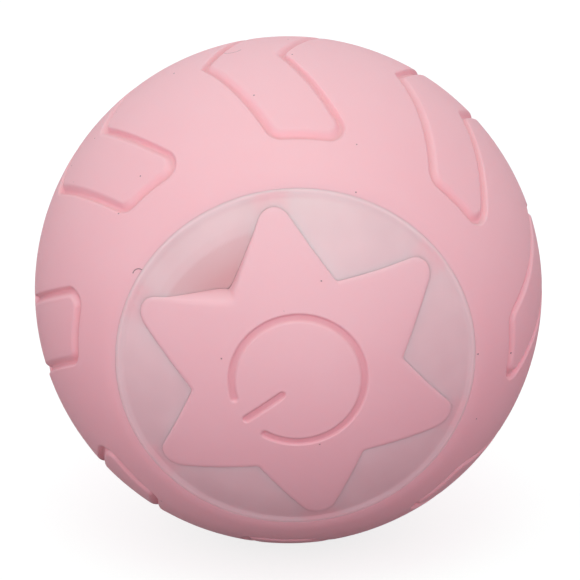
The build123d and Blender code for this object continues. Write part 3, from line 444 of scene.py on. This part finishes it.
def columnAngle(kind, value, height):
    # angle of a column from the chevron's middle, where the ball's surface crosses it
    reach = rise(ball["radius"], height)

    def turnOf(sideways):
        return math.degrees(math.asin(sideways / reach))

    widest, innermost = sideOffsets[0] / math.cos(slant), sideOffsets[-1] / math.cos(slant)
    if kind == "inner":
        low, high = limbLine(-1, height) + innermost, limbLine(1, height) - innermost
        return turnOf(low + (high - low) * value)
    if kind == "outer":
        low = turnOf(limbLine(1, height) - widest)
        high = 360 / tread["count"] + turnOf(limbLine(-1, height) + widest)
        return low + (high - low) * value
    return turnOf(limbLine(kind, height) + value / math.cos(slant))


def treadProfile():
    # closed chain of reach and height: near rim, tread, far rim and the inner wall
    radius, inside, opening = ball["radius"], tread["inside"], tread["opening"]
    heights, apex = [tread["endHeight"] - value for value in sideOffsets], treadMesh["apex"]
    heights += list(np.linspace(heights[-1], apex[0], treadMesh["flankSteps"] + 1)[1:])
    heights += apex[1:]
    lip = []
    for share in even(treadMesh["lipSteps"]):
        reach = opening + tread["rimWidth"] * (1 - share)
        lip.append((reach, rise(radius, reach) - tread["rimDrop"] * share ** 2))
    inward, down = tread["rimTurn"]
    for drop in (down, tread["rimWall"]):
        lip.append((opening - inward, lip[-1][1] - drop))
    rimTurn = math.degrees(math.atan2(lip[0][1], lip[0][0]))
    topTurn = math.degrees(math.asin(heights[0] / radius))
    between = np.linspace(rimTurn, topTurn, treadMesh["shoulderSteps"] + 1)[1:-1]
    heights = [radius * math.sin(math.radians(turn)) for turn in between] + heights
    mirrored = heights + [0.0] + [-height for height in reversed(heights)]
    surface = [(rise(radius, height), height) for height in mirrored]
    edge = math.asin(rise(inside, opening) / inside)
    turns = np.linspace(-edge, edge, treadMesh["wallSteps"] + 1)
    wall = [(inside * math.cos(turn), inside * math.sin(turn)) for turn in turns]
    chain = list(reversed(lip)) + surface + [(reach, -height) for reach, height in lip] + wall
    return chain, len(lip), len(lip) + len(surface)


def grooveDepths(turns, reach, height, line):
    # share of the groove's depth at each column of one row
    sideways = reach * np.sin(np.radians(turns) - math.radians(tread["middleAngle"]))
    away = distanceToLine(np.stack([sideways, np.full(len(turns), height)], 1), line)
    lip = np.where(away < 0, tread["padLip"], tread["outerLip"])
    half = tread["floorHalf"]
    share = np.clip((np.abs(away) - half) / (lip - half), 0, 1)
    return np.where(away < 0, (1 - share) ** 2 * (1 + share), 1 - share ** 2 * (3 - 2 * share))


def makeTreadSkin():
    columns = treadColumns()
    perSector = len(columns)
    total = perSector * tread["count"]
    chain, firstTread, lastTread = treadProfile()
    line = chevronOutline()
    pitch = 2 * math.pi / tread["count"]
    turns = [
        [tread["middleAngle"] + columnAngle(kind, value, height) for kind, value in columns]
        for reach, height in chain
    ]
    depths = np.zeros((len(chain), perSector))
    for index in range(firstTread, lastTread):
        depths[index] = grooveDepths(turns[index], *chain[index], line)

    bm, row = spinProfile(chain, total, closed=True)
    paintedShading = bm.verts.layers.float.new("paintedShading")
    for point in bm.verts:
        index = point[row]
        sector, local = divmod(columnOf(point, total), perSector)
        reach, height = chain[index]
        angle = math.radians(turns[index][local]) + pitch * sector
        depth = depths[index][local]
        shrink = 1 - depth * tread["depth"] / ball["radius"]
        # painted shade in the grooves, strongest on their floors
        point[paintedShading] = depth ** 2
        point.co = polar(angle, reach, height) * shrink * mm
    finishPiece("treadSkin", bm, rubber, "ball", ["tread_skin"], 60)


makeTreadSkin()


# star outline
star = {
    "arms": 6, "firstAngle": 38.4, "tipReach": 31.0, "waistReach": 17.9,
    "tipRound": 3.05, "waistRound": 0.8, "underside": 40.25, "columns": 360,
    "crowded": 0.55, "even": 0.45,  # shares of the columns' spacing
    "edgeWidth": 0.8, "edgeDrop": 0.28, "pitWidth": 0.5, "pitDrop": 0.35,
    "turnFrom": 124.0, "turnTo": 132.0, "lean": (0.1, 0.35), "flare": (0.25, 0.8),
    "seatGap": 0.04, "sideHeight": 0.1,
}
starOutlines = {}  # by growth, as they are asked for


def starOutline(growth):
    # rounded outline as angle and reach, for one arm measured from its tip
    half = math.pi / star["arms"]
    tip, nextTip = flat(0, star["tipReach"]), flat(2 * half, star["tipReach"])
    waist = flat(half, star["waistReach"])
    arc = roundedCorner(Vector((waist.x, -waist.y)), tip, waist, star["tipRound"])
    arc = arc[len(arc) // 2:]
    hollow = roundedCorner(tip, waist, nextTip, star["waistRound"])
    hollow = hollow[:len(hollow) // 2 + 1]
    line = arc + straight(arc[-1], hollow[0], 12) + hollow
    grown = []
    for index, point in enumerate(line):
        before, after = line[max(index - 1, 0)], line[min(index + 1, len(line) - 1)]
        along = (after - before).normalized()
        if index == 0:
            along = Vector((0, 1))
        if index == len(line) - 1:
            along = Vector((-math.sin(half), math.cos(half)))
        moved = point + Vector((along.y, -along.x)) * growth
        if not grown or math.atan2(moved.y, moved.x) > math.atan2(grown[-1].y, grown[-1].x):
            grown.append(moved)
    angles = [math.degrees(math.atan2(p.y, p.x)) for p in grown]
    return angles, [p.length for p in grown]


def starReach(angle, growth=0.0):
    growth = round(growth, 4)
    if growth not in starOutlines:
        starOutlines[growth] = starOutline(growth)
    angles, reaches = starOutlines[growth]
    step = 360 / star["arms"]
    local = (angle - star["firstAngle"]) % step
    return float(np.interp(min(local, step - local), angles, reaches))


def starColumns():
    # column angles that crowd toward the tips and the waists
    halves = 2 * star["arms"]
    step, count = 360 / halves, star["columns"] // halves
    shares = [
        star["crowded"] * (0.5 - 0.5 * math.cos(math.pi * index / count))
        + star["even"] * index / count
        for index in range(count)
    ]
    return [
        star["firstAngle"] + step * (part + share) for part in range(halves) for share in shares
    ]


print("star outline drawn")


# fingernail recess in the near window
recess = {
    "start": 98.4, "sweep": 60.0, "outer": 26.8, "step": 25.1, "floor": 18.2,
    "stepDepth": 0.16, "floorDepth": 2.4, "soft": 0.22,
    # shares of the pit's painted shade: faint over the whole sector, more in the dish and past the
    # step
    "sectorShade": 0.1, "dishShade": 0.18, "edgeShade": 0.5,
    "dishBlend": 0.4, "edgeBlend": (-0.25, 0.25), "slopeBlend": (0.3, 2.0),
    "pitDepth": 2.1, "pitStart": 0.05,  # the star's edge changes by depth / pitDepth - pitStart
}


def inRecess(angle):
    return 0 < (angle - recess["start"]) % 360 < recess["sweep"]


def recessDepth(angle, reach):
    # a faint dished step, then a slope down to the foot of the star
    if not inRecess(angle):
        return 0.0
    outer, step, soft = recess["outer"], recess["step"], recess["soft"]
    dish = recess["stepDepth"] * softStep(outer - reach, 0.0, outer - step)
    fall = step - reach
    if fall < -soft:
        return dish
    run = fall if fall > soft else (fall + soft) ** 2 / (4 * soft)
    slope = (recess["floorDepth"] - recess["stepDepth"]) / (step - recess["floor"])
    return min(dish + run * slope, recess["floorDepth"])


def recessShadeShare(angle, reach):
    # how far the colour turns to the painted shade of the pit, deeper as the recess falls
    depth = recessDepth(angle, reach)
    if depth <= 0:
        return 0.0
    dishShade, edgeShade = recess["dishShade"], recess["edgeShade"]
    dish = dishShade * softStep(recess["outer"] - reach, 0.0, recess["dishBlend"])
    edge = (edgeShade - dishShade) * softStep(recess["step"] - reach, *recess["edgeBlend"])
    return dish + edge + (1 - edgeShade) * softStep(depth, *recess["slopeBlend"])


def pitShape(angle):
    # how deep the recess lies at the star's edge, from 0 to 1, and how far the star's side
    # leans in at its top and out at its foot there
    depth = recessDepth(angle, starReach(angle))
    pit = min(max(depth / recess["pitDepth"] - recess["pitStart"], 0), 1)
    turned = softStep(angle % 360, star["turnFrom"], star["turnTo"])
    lean, flare = (
        round(pit * (low + (high - low) * turned), 4) for low, high in (star["lean"], star["flare"])
    )
    return pit, lean, flare


# star pads
symbol = {
    "angle": 218.4, "reach": 11.2, "halfWidth": 0.64, "depth": 0.4, "halfGap": 22.0,
    "barStart": 3.6, "barEnd": 11.1, "soft": 0.28, "softInside": 0.6,
}
padRings = [  # reaches that crowd round the symbol's groove
    0.0, 0.5, 1.2, 2.0, 2.6, 2.9, 3.1, 3.3, 3.5, 3.8, 4.2, 4.8, 5.6, 6.4, 7.2, 8.0, 8.8, 9.5,
    10.0, 10.2, 10.35, 10.5, 10.65, 10.8, 11.0, 11.2, 11.4, 11.6, 11.75, 11.9, 12.05, 12.2,
    12.5, 13.0, 13.6,
]


def symbolDepth(angle, reach):
    # rounded groove of the power symbol: a ring with a gap, and a bar through the gap
    turn = math.radians(angle - symbol["angle"])
    x, y = reach * math.cos(turn), reach * math.sin(turn)
    gap = math.radians(symbol["halfGap"])
    if abs((turn + math.pi) % math.tau - math.pi) >= gap:
        ring = abs(reach - symbol["reach"])
    else:
        endX, endY = symbol["reach"] * math.cos(gap), symbol["reach"] * math.sin(gap)
        ring = math.hypot(x - endX, abs(y) - endY)
    bar = math.hypot(x - min(max(x, symbol["barStart"]), symbol["barEnd"]), y)
    low = symbol["halfWidth"] - symbol["soft"]
    high = symbol["halfWidth"] + symbol["soft"] * symbol["softInside"]
    return 1 - softStep(min(ring, bar), low, high)


def makeStarPad(name, node, body, side, bottomReach, bottomHeight):
    # side is 1 for the near star, with its symbol, and -1 for the far one; without a
    # bottom height the bottom follows the underside
    radius, under, inner = ball["star"], star["underside"], padRings[-1]
    angles = starColumns()
    names = rows("ring", padRings) + rows("share", (0.12, 0.26, 0.4, 0.54, 0.68, 0.8, 0.9))
    names += rows("edge", even(6)) + rows("wall", (0.33, 0.67, 1.0)) + rows("side", (0.5, 1.0))
    names += rows("under", (0.66, 0.33, 0.0)) + rows("flat", (1.0, 0.5, 0.0))

    def place(index, column):
        kind, value = names[index]
        angle, shade = angles[column], 0.0
        pit, lean, flare = pitShape(angle) if side > 0 else (0.0, 0.0, 0.0)
        width = star["edgeWidth"] + star["pitWidth"] * pit
        drop = star["edgeDrop"] + star["pitDrop"] * pit
        foot = starReach(angle, flare)
        low = rise(under, foot)
        crest = rise(radius, starReach(angle, -lean)) - drop
        beside = rise(ball["window"], foot) - pit * recessDepth(angle, foot)
        seat = max(low + star["sideHeight"], min(crest, beside) - star["seatGap"])
        lastTurn = math.atan2((crest - seat) * width, (lean + flare) * drop)
        shoulder = -lean - width * (1 - math.sin(lastTurn))
        shoulderTop = rise(radius, starReach(angle, shoulder)) - drop * (1 - math.cos(lastTurn))
        if kind == "ring":
            reach = value
            height = rise(radius, reach)
        elif kind == "share":
            reach = inner + (starReach(angle, -width - lean) - inner) * value
            height = rise(radius, reach)
        elif kind == "edge":
            turn = lastTurn * value
            reach = starReach(angle, -lean - width * (1 - math.sin(turn)))
            height = rise(radius, reach) - drop * (1 - math.cos(turn))
        elif kind == "wall":
            reach = starReach(angle, shoulder + (flare - shoulder) * value)
            height = shoulderTop + (seat - shoulderTop) * value
            # the star's side in the pit is painted with shade, more of it toward the foot
            shade = pit * value
        elif kind == "side":
            reach = foot
            height = seat + (low - seat) * value
        elif kind == "under":
            reach = bottomReach + (foot - bottomReach) * value
            height = rise(under, reach)
        else:
            reach = bottomReach * value
            height = bottomHeight or rise(under, reach)
        # the symbol's groove is cut in, and the same share paints shade into it
        if side > 0 and kind in ("ring", "share") and reach < inner:
            shade = symbolDepth(angle, reach)
            height -= shade * symbol["depth"]
        return angle, reach, height * side, shade

    bm, row = spinRows(len(names), (0, len(names) - 1), len(angles), closed=False)
    paintedShading = bm.verts.layers.float.new("paintedShading")
    for point in bm.verts:
        angle, reach, height, shade = place(point[row], columnOf(point, len(angles)))
        point[paintedShading] = shade
        point.co = polar(math.radians(angle), reach, height) * mm
    finishPiece(name, bm, starRubber, body, [node], 60)


makeStarPad("starPad", "star_pad", "star_button", 1, 12.05, 38.75)
makeStarPad("farStar", "far_star", "ball", -1, 12.0, None)


# half shells: dome under the skin, frosted window, star pocket and fingernail recess
shell = {
    "reach": 30.385, "edgeRound": 0.05, "lipRound": 0.02, "gap": 0.006, "floorReach": 15.0,
    # the rim keys set where a painted highlight lines the window's edge, the glow keys how much
    # painted pink light lies round the star's tips
    "ridgeStart": 28.8, "ridge": 0.6, "rimStart": 29.7, "rimHighlight": 30.0, "rimBlend": 0.4,
    "narrow": 5.4, "narrowest": 2.0, "glow": 0.75, "glowBlend": 0.5, "glowFoot": 15.0,
}
windowRows = [0.015, 0.03, 0.045, 0.06, 0.09]  # shares of the way from the rim to the star
windowRows += [windowRows[-1] + 0.89 * step / 28 for step in range(1, 29)]


def makeShell(side, inside):
    # side is 1 for the near half, with its recess, and -1 for the far one; inside is a list
    # of reach and height
    angles = starColumns()
    dome, window, floor = ball["shell"], ball["window"], ball["pocket"]
    edge, lip = shell["edgeRound"], shell["lipRound"]
    names = rows("track", even(6)) + rows("rim", (0.5,)) + rows("edge", even(4))
    names += rows("window", windowRows) + rows("lip", even(4)) + rows("pocket", (0.5, 1.0))
    names += rows("floor", (0.7, 0.35, 0.0) if side > 0 else (0.75, 0.5, 0.25, 0.0))
    names += rows("inside", range(len(inside)))
    trackTurn = math.acos(shell["reach"] / dome)
    windowTop = shell["reach"] - edge

    def surface(angle, reach):
        depth = recessDepth(angle, reach) if side > 0 else 0.0
        ridge = shell["ridge"] * softStep(reach, shell["ridgeStart"], windowTop)
        return rise(window, reach) - depth + ridge

    def paintedShadingOf(angle, reach):
        # -1 is the painted highlight of the rim line, 1 is the painted shade of the pit
        if reach > shell["rimStart"]:
            return -softStep(reach, shell["rimStart"], shell["rimHighlight"])
        if side < 0 or not inRecess(angle):
            return 0.0
        fromRim = softStep(shell["rimStart"] - reach, 0, shell["rimBlend"])
        return max(recess["sectorShade"] * fromRim, recessShadeShare(angle, reach))

    def paintedGlowOf(angle, reach):
        # painted pink glow: the window is tinted where it is narrow, round the tips, for the light
        # that the rubber shines into it
        narrow = shell["narrow"] - (windowTop - starReach(angle))
        share = softStep(narrow, 0, shell["narrow"] - shell["narrowest"])
        return shell["glow"] * share * softStep(windowTop - reach, 0, shell["glowBlend"])

    def place(index, column):
        kind, value = names[index]
        angle = angles[column]
        flare = pitShape(angle)[2] if side > 0 else 0.0
        mouth = starReach(angle, shell["gap"] + flare)
        inner = mouth + lip
        turn = math.pi / 2 * value
        if kind == "track":
            turn = trackTurn * value
            return angle, dome * math.cos(turn), dome * math.sin(turn), 0.0
        if kind == "rim":
            reach = shell["reach"]
            return angle, reach, (rise(dome, reach) + rise(window, reach)) / 2, 0.0
        # the rounded edge of the window takes the full painted highlight
        if kind == "edge":
            height = surface(angle, windowTop) - edge * (1 - math.sin(turn))
            return angle, windowTop + edge * math.cos(turn), height, -1.0
        if kind == "window":
            reach = windowTop + (inner - windowTop) * value
            return angle, reach, surface(angle, reach), paintedShadingOf(angle, reach)
        if kind == "lip":
            height = surface(angle, inner) - lip * (1 - math.cos(turn))
            return angle, inner - lip * math.sin(turn), height, paintedShadingOf(angle, inner)
        # the pocket and the floor under the star take the full painted shade
        if kind == "pocket":
            top, low = surface(angle, inner) - lip, rise(floor, mouth)
            return angle, mouth, min(top, top + (low - top) * value), 1.0
        if kind == "floor":
            low = shell["floorReach"] if side > 0 else 0.0
            reach = low + (mouth - low) * value
            return angle, reach, rise(floor, reach), 1.0
        reach, height = inside[value]
        return angle, reach, height, 0.0

    axisRows = [
        index for index, (kind, value) in enumerate(names)
        if (kind == "floor" and value == 0 and side < 0)
        or (kind == "inside" and inside[value][0] == 0)
    ]
    bm, row = spinRows(len(names), axisRows, len(angles), closed=True)
    paintedShading = bm.verts.layers.float.new("paintedShading")
    glow = bm.verts.layers.float.new("glow")
    for point in bm.verts:
        angle, reach, height, shade = place(point[row], columnOf(point, len(angles)))
        point[paintedShading] = shade
        point[glow] = paintedGlowOf(angle, reach) if height > shell["glowFoot"] else 0.0
        point.co = polar(math.radians(angle), reach, height * side) * mm
    return bm


# the hollow sides of the half shells, as reach and height
nearHollow = {
    "middle": [(15.0, 35.0), (13.6, 35.0), (13.6, 28.4), (16.6, 28.4)],  # charging well
    "wallEnd": 6.0,
    "rim": [  # spigot with the groove of its seal
        (35.8, 6.0), (35.8, -7.4), (37.6, -7.4), (37.6, -6.55), (36.4, -6.55), (36.4, -5.25),
        (37.6, -5.25), (37.6, 0.0),
    ],
}
farHollow = {
    "middle": [(0.0, 30.2), (3.23, 30.2), (3.23, 23.4), (5.4, 23.4)],  # seat of the bush
    "wallEnd": 7.5, "rim": [(37.7, 7.5), (37.7, 0.0)],
}
posts = {
    "count": 4, "firstAngle": 45, "reach": 22.8, "radius": 2.8, "foot": 22.8, "root": 38.4,
    "sides": 24,
}
ribs = {"count": 4, "start": 5.0, "end": 13.0, "thickness": 1.4, "foot": 28.0, "root": 38.4}


def hollowSide(hollow):
    # chain from the middle along the wall of the cavity to the rim
    cavity, middle = ball["cavity"], hollow["middle"]
    start = math.acos(middle[-1][0] / cavity)
    end = math.acos(rise(cavity, hollow["wallEnd"]) / cavity)
    turns = [start + (end - start) * step / 8 for step in range(9)]
    wall = [(cavity * math.cos(turn), cavity * math.sin(turn)) for turn in turns]
    return middle + wall + hollow["rim"]


def addPosts(bm):
    # screw posts that grow out of the near shell's dome
    for index in range(posts["count"]):
        turn = math.radians(posts["firstAngle"] + 360 / posts["count"] * index)
        middle = flat(turn, posts["reach"])
        post = bmesh.ops.create_cone(
            bm, cap_ends=True, segments=posts["sides"], depth=1.0,
            radius1=posts["radius"], radius2=posts["radius"],
        )
        for point in post["verts"]:
            x, z = middle.x + point.co.x, middle.y + point.co.y
            height = posts["foot"] if point.co.z < 0 else rise(posts["root"], math.hypot(x, z))
            point.co = Vector((x, -height, z)) * mm


def addRibs(bm):
    # stiffening ribs round the drive shaft's seat in the far shell
    for index in range(ribs["count"]):
        turn = math.tau / ribs["count"] * index
        across = Vector((-math.sin(turn), 0, math.cos(turn))) * ribs["thickness"] / 2
        rib = bmesh.ops.create_cube(bm, size=2.0)
        for point in rib["verts"]:
            reach = ribs["start"] if point.co.x < 0 else ribs["end"]
            height = ribs["foot"] if point.co.y < 0 else rise(ribs["root"], reach)
            point.co = (polar(turn, reach, -height) + across * point.co.z) * mm


nearMesh = makeShell(1, hollowSide(nearHollow))
addPosts(nearMesh)
finishPiece("nearShell", nearMesh, frosted, "ball", ["near_half_shell"], 50)
farMesh = makeShell(-1, hollowSide(farHollow))
addRibs(farMesh)
finishPiece("farShell", farMesh, frosted, "ball", ["far_half_shell"], 50)


# finishes of the inner pieces
plastic = {"drift": 120.0, "spread": 0.06, "bumpHeight": 0.00004}
metal = {
    "grain": {"Scale": 900.0, "Drift Scale": 150.0}, "scratch": (400.0, 4000.0, 400.0),
    "smoother": 0.08, "rougher": 0.1, "bump": (0.12, 0.00003),
}


def makePlastic(name, pale, deep, roughness, grainScale=1800.0, specular=0.4, bump=0.1):
    material, tree, shader = newMaterial(name, {"Specular IOR Level": specular})
    scales = {"Scale": grainScale, "Drift Scale": plastic["drift"]}
    height, body = grainy(tree, scales, deep, pale)
    join(tree, body, shader.inputs["Base Color"])
    low, high = roughness - plastic["spread"], roughness + plastic["spread"]
    join(tree, fromNoise(tree, height, low, high), shader.inputs["Roughness"])
    bumped(tree, shader, height, bump, plastic["bumpHeight"])
    return material


def makeMetal(name, pale, deep, roughness):
    # brushed or turned metal: long scratches along one axis
    material, tree, shader = newMaterial(name, {"Metallic": 1.0})
    place = addNode(tree, "ShaderNodeTexCoord").outputs["Object"]
    spread = addNode(
        tree, "ShaderNodeMapping", values={"Vector": place, "Scale": metal["scratch"]},
    )
    scratches = addNode(tree, "ShaderNodeTexNoise", values={
        "Vector": spread.outputs["Vector"], "Scale": 1.0, "Detail": 4.0, "Roughness": 0.65,
    }).outputs["Fac"]
    join(tree, grainy(tree, metal["grain"], deep, pale)[1], shader.inputs["Base Color"])
    low, high = roughness - metal["smoother"], roughness + metal["rougher"]
    join(tree, fromNoise(tree, scratches, low, high), shader.inputs["Roughness"])
    bumped(tree, shader, scratches, *metal["bump"])
    return material


# by slot: name, pale colour, deep colour, roughness; some plastics also have grain scale,
# specular level and bump
plastics = {
    "cap_plastic": ("capPlastic", (0.80, 0.66, 0.68), (0.76, 0.61, 0.64), 0.42),
    "seal_rubber": ("sealRubber", (0.045, 0.045, 0.05), (0.03, 0.03, 0.034), 0.62, 1800.0, 0.3),
    "frame_plastic": ("framePlastic", (0.78, 0.78, 0.75), (0.73, 0.73, 0.70), 0.45),
    "plate_plastic": ("platePlastic", (0.06, 0.06, 0.065), (0.045, 0.045, 0.05), 0.5),
    "arm_plastic": ("armPlastic", (0.075, 0.08, 0.095), (0.055, 0.06, 0.075), 0.5),
    "washer_plastic": ("washerPlastic", (0.84, 0.82, 0.76), (0.79, 0.77, 0.7), 0.4),
    "gear_plastic": ("gearPlastic", (0.86, 0.84, 0.77), (0.81, 0.78, 0.7), 0.38),
    "motor_plastic": ("motorPlastic", (0.8, 0.8, 0.75), (0.75, 0.75, 0.69), 0.42),
    "board_laminate": ("boardLaminate", (0.03, 0.16, 0.07), (0.02, 0.12, 0.05), 0.32, 2400.0),
    "chip_plastic": ("chipPlastic", (0.03, 0.03, 0.033), (0.02, 0.02, 0.022), 0.55),
    "switch_plastic": ("switchPlastic", (0.035, 0.035, 0.04), (0.025, 0.025, 0.028), 0.45),
    "plunger_plastic": ("plungerPlastic", (0.76, 0.72, 0.65), (0.7, 0.66, 0.58), 0.4),
    "lamp_plastic": ("lampPlastic", (0.88, 0.82, 0.58), (0.84, 0.78, 0.5), 0.22),
    "tongue_plastic": ("tonguePlastic", (0.035, 0.035, 0.04), (0.025, 0.025, 0.03), 0.4),
    "battery_foam": (
        "batteryFoam", (0.06, 0.06, 0.065), (0.04, 0.04, 0.045), 0.8, 3000.0, 0.2, 0.4,
    ),
    "lead_sleeve": ("leadSleeve", (0.55, 0.03, 0.03), (0.48, 0.02, 0.02), 0.4),
}
metals = {
    "screw_steel": ("screwSteel", (0.62, 0.62, 0.63), (0.52, 0.52, 0.54), 0.32),
    "spring_steel": ("springSteel", (0.6, 0.6, 0.62), (0.5, 0.5, 0.52), 0.28),
    "shaft_steel": ("shaftSteel", (0.68, 0.68, 0.7), (0.58, 0.58, 0.6), 0.24),
    "weight_steel": ("weightSteel", (0.16, 0.16, 0.17), (0.11, 0.11, 0.12), 0.5),
    "gear_brass": ("gearBrass", (0.72, 0.52, 0.22), (0.62, 0.43, 0.17), 0.3),
    "bush_brass": ("bushBrass", (0.58, 0.4, 0.18), (0.48, 0.32, 0.14), 0.45),
    "motor_steel": ("motorSteel", (0.64, 0.64, 0.66), (0.56, 0.56, 0.58), 0.26),
    "socket_steel": ("socketSteel", (0.68, 0.68, 0.7), (0.6, 0.6, 0.62), 0.22),
    "battery_foil": ("batteryFoil", (0.7, 0.71, 0.72), (0.62, 0.63, 0.64), 0.36),
}
finishes = {"shell_plastic": frosted, "skin_rubber": rubber}
finishes.update({slot: makePlastic(*values) for slot, values in plastics.items()})
finishes.update({slot: makeMetal(*values) for slot, values in metals.items()})

for row in frame["record"]["subparts"]:
    part = frame["nodes"][row["node"]]
    part.data.materials.clear()
    part.data.materials.append(finishes[row["material_slot"]])
print("materials given to", len(frame["nodes"]), "nodes")


# studio: camera, lamps, white paper
view = {
    "distance": 4.3, "turn": -2.3, "rise": 21.8, "radiusPixels": 253.6, "frame": 580,
    "centre": (288.4, 289.7), "sensor": 36.0, "nearest": 1.0, "farthest": 40.0,
}
lamps = {
    "front": {"place": (0.0, -1.0, 0.05), "size": 0.7, "power": 4.0, "colour": (0.90, 1.0, 0.97)},
    "top": {"place": (0.0, -0.22, 0.75), "size": 0.6, "power": 1.5, "colour": (0.05, 1.0, 0.6)},
    "left": {"place": (-0.8, -0.4, 0.35), "size": 0.6, "power": 0.9, "colour": (0.65, 1.0, 0.88)},
}
surroundings = {
    "colour": (1.0, 0.92, 0.97), "strength": 0.855, "floorSize": 6.0, "floorRoughness": 0.9,
    "floorShade": (0.255, 0.155, 0.18), "floorWhite": (0.3, 0.3, 0.3), "floorGlow": 0.785,
}


def aimAtBall(name, data, place):
    holder = bpy.data.objects.new(name, data)
    holder.location = place
    holder.rotation_mode = "QUATERNION"
    holder.rotation_quaternion = (-holder.location).to_track_quat("-Z", "Y")
    bpy.context.scene.collection.objects.link(holder)
    return holder


def makeCamera():
    away, frameWidth = view["distance"], view["frame"]
    turn, up = math.radians(view["turn"]), math.radians(view["rise"])
    toward = Vector((
        math.sin(turn) * math.cos(up), -math.cos(turn) * math.cos(up), math.sin(up),
    ))
    camera = aimAtBall("camera", bpy.data.cameras.new("camera"), toward * away)
    radius = ball["radius"] * mm
    spread = radius / math.sqrt(away * away - radius * radius)
    camera.data.sensor_width = view["sensor"]
    camera.data.lens = view["sensor"] * view["radiusPixels"] / spread / frameWidth
    camera.data.shift_x = (frameWidth / 2 - view["centre"][0]) / frameWidth
    camera.data.shift_y = (view["centre"][1] - frameWidth / 2) / frameWidth
    camera.data.clip_start, camera.data.clip_end = view["nearest"], view["farthest"]
    bpy.context.scene.camera = camera


def makeLamps():
    for name, lamp in lamps.items():
        light = bpy.data.lights.new(name, "AREA")
        light.shape = "DISK"
        light.size = lamp["size"]
        light.energy = lamp["power"]
        light.color = lamp["colour"]
        aimAtBall(name, light, lamp["place"])


def makeWorld():
    # the camera sees plain white, and everything else the tint and strength of the studio
    world = bpy.data.worlds.new("studio")
    world.use_nodes = True
    tree = world.node_tree
    background = tree.nodes["Background"]
    seen = addNode(tree, "ShaderNodeLightPath").outputs["Is Camera Ray"]
    strength = addNode(tree, "ShaderNodeMix", {"data_type": "FLOAT"}, {
        "Factor": seen, 2: surroundings["strength"], 3: 1.0,
    })
    join(tree, strength.outputs[0], background.inputs["Strength"])
    colour = blendColours(tree, seen, surroundings["colour"], (1, 1, 1))
    join(tree, colour, background.inputs["Color"])
    bpy.context.scene.world = world


def makeFloor():
    bm = bmesh.new()
    bmesh.ops.create_grid(bm, x_segments=2, y_segments=2, size=surroundings["floorSize"])
    bmesh.ops.translate(bm, verts=bm.verts[:], vec=(0, 0, -ball["radius"] * mm))
    mesh = bpy.data.meshes.new("floor")
    bm.to_mesh(mesh)
    bm.free()
    floor = bpy.data.objects.new("floor", mesh)
    bpy.context.scene.collection.objects.link(floor)
    material, tree, shader = newMaterial("floorPaper", {
        "Emission Color": (1, 1, 1, 1), "Specular IOR Level": 0.0,
        "Roughness": surroundings["floorRoughness"],
    })
    seen = addNode(tree, "ShaderNodeLightPath").outputs["Is Camera Ray"]
    shade = blendColours(tree, seen, surroundings["floorShade"], surroundings["floorWhite"])
    join(tree, shade, shader.inputs["Base Color"])
    glow = stretch(tree, seen, 0, 1, 0, surroundings["floorGlow"])
    join(tree, glow, shader.inputs["Emission Strength"])
    floor.data.materials.append(material)


makeCamera()
makeLamps()
makeWorld()
makeFloor()
bpy.context.scene.view_settings.view_transform = "Standard"
print("studio set")
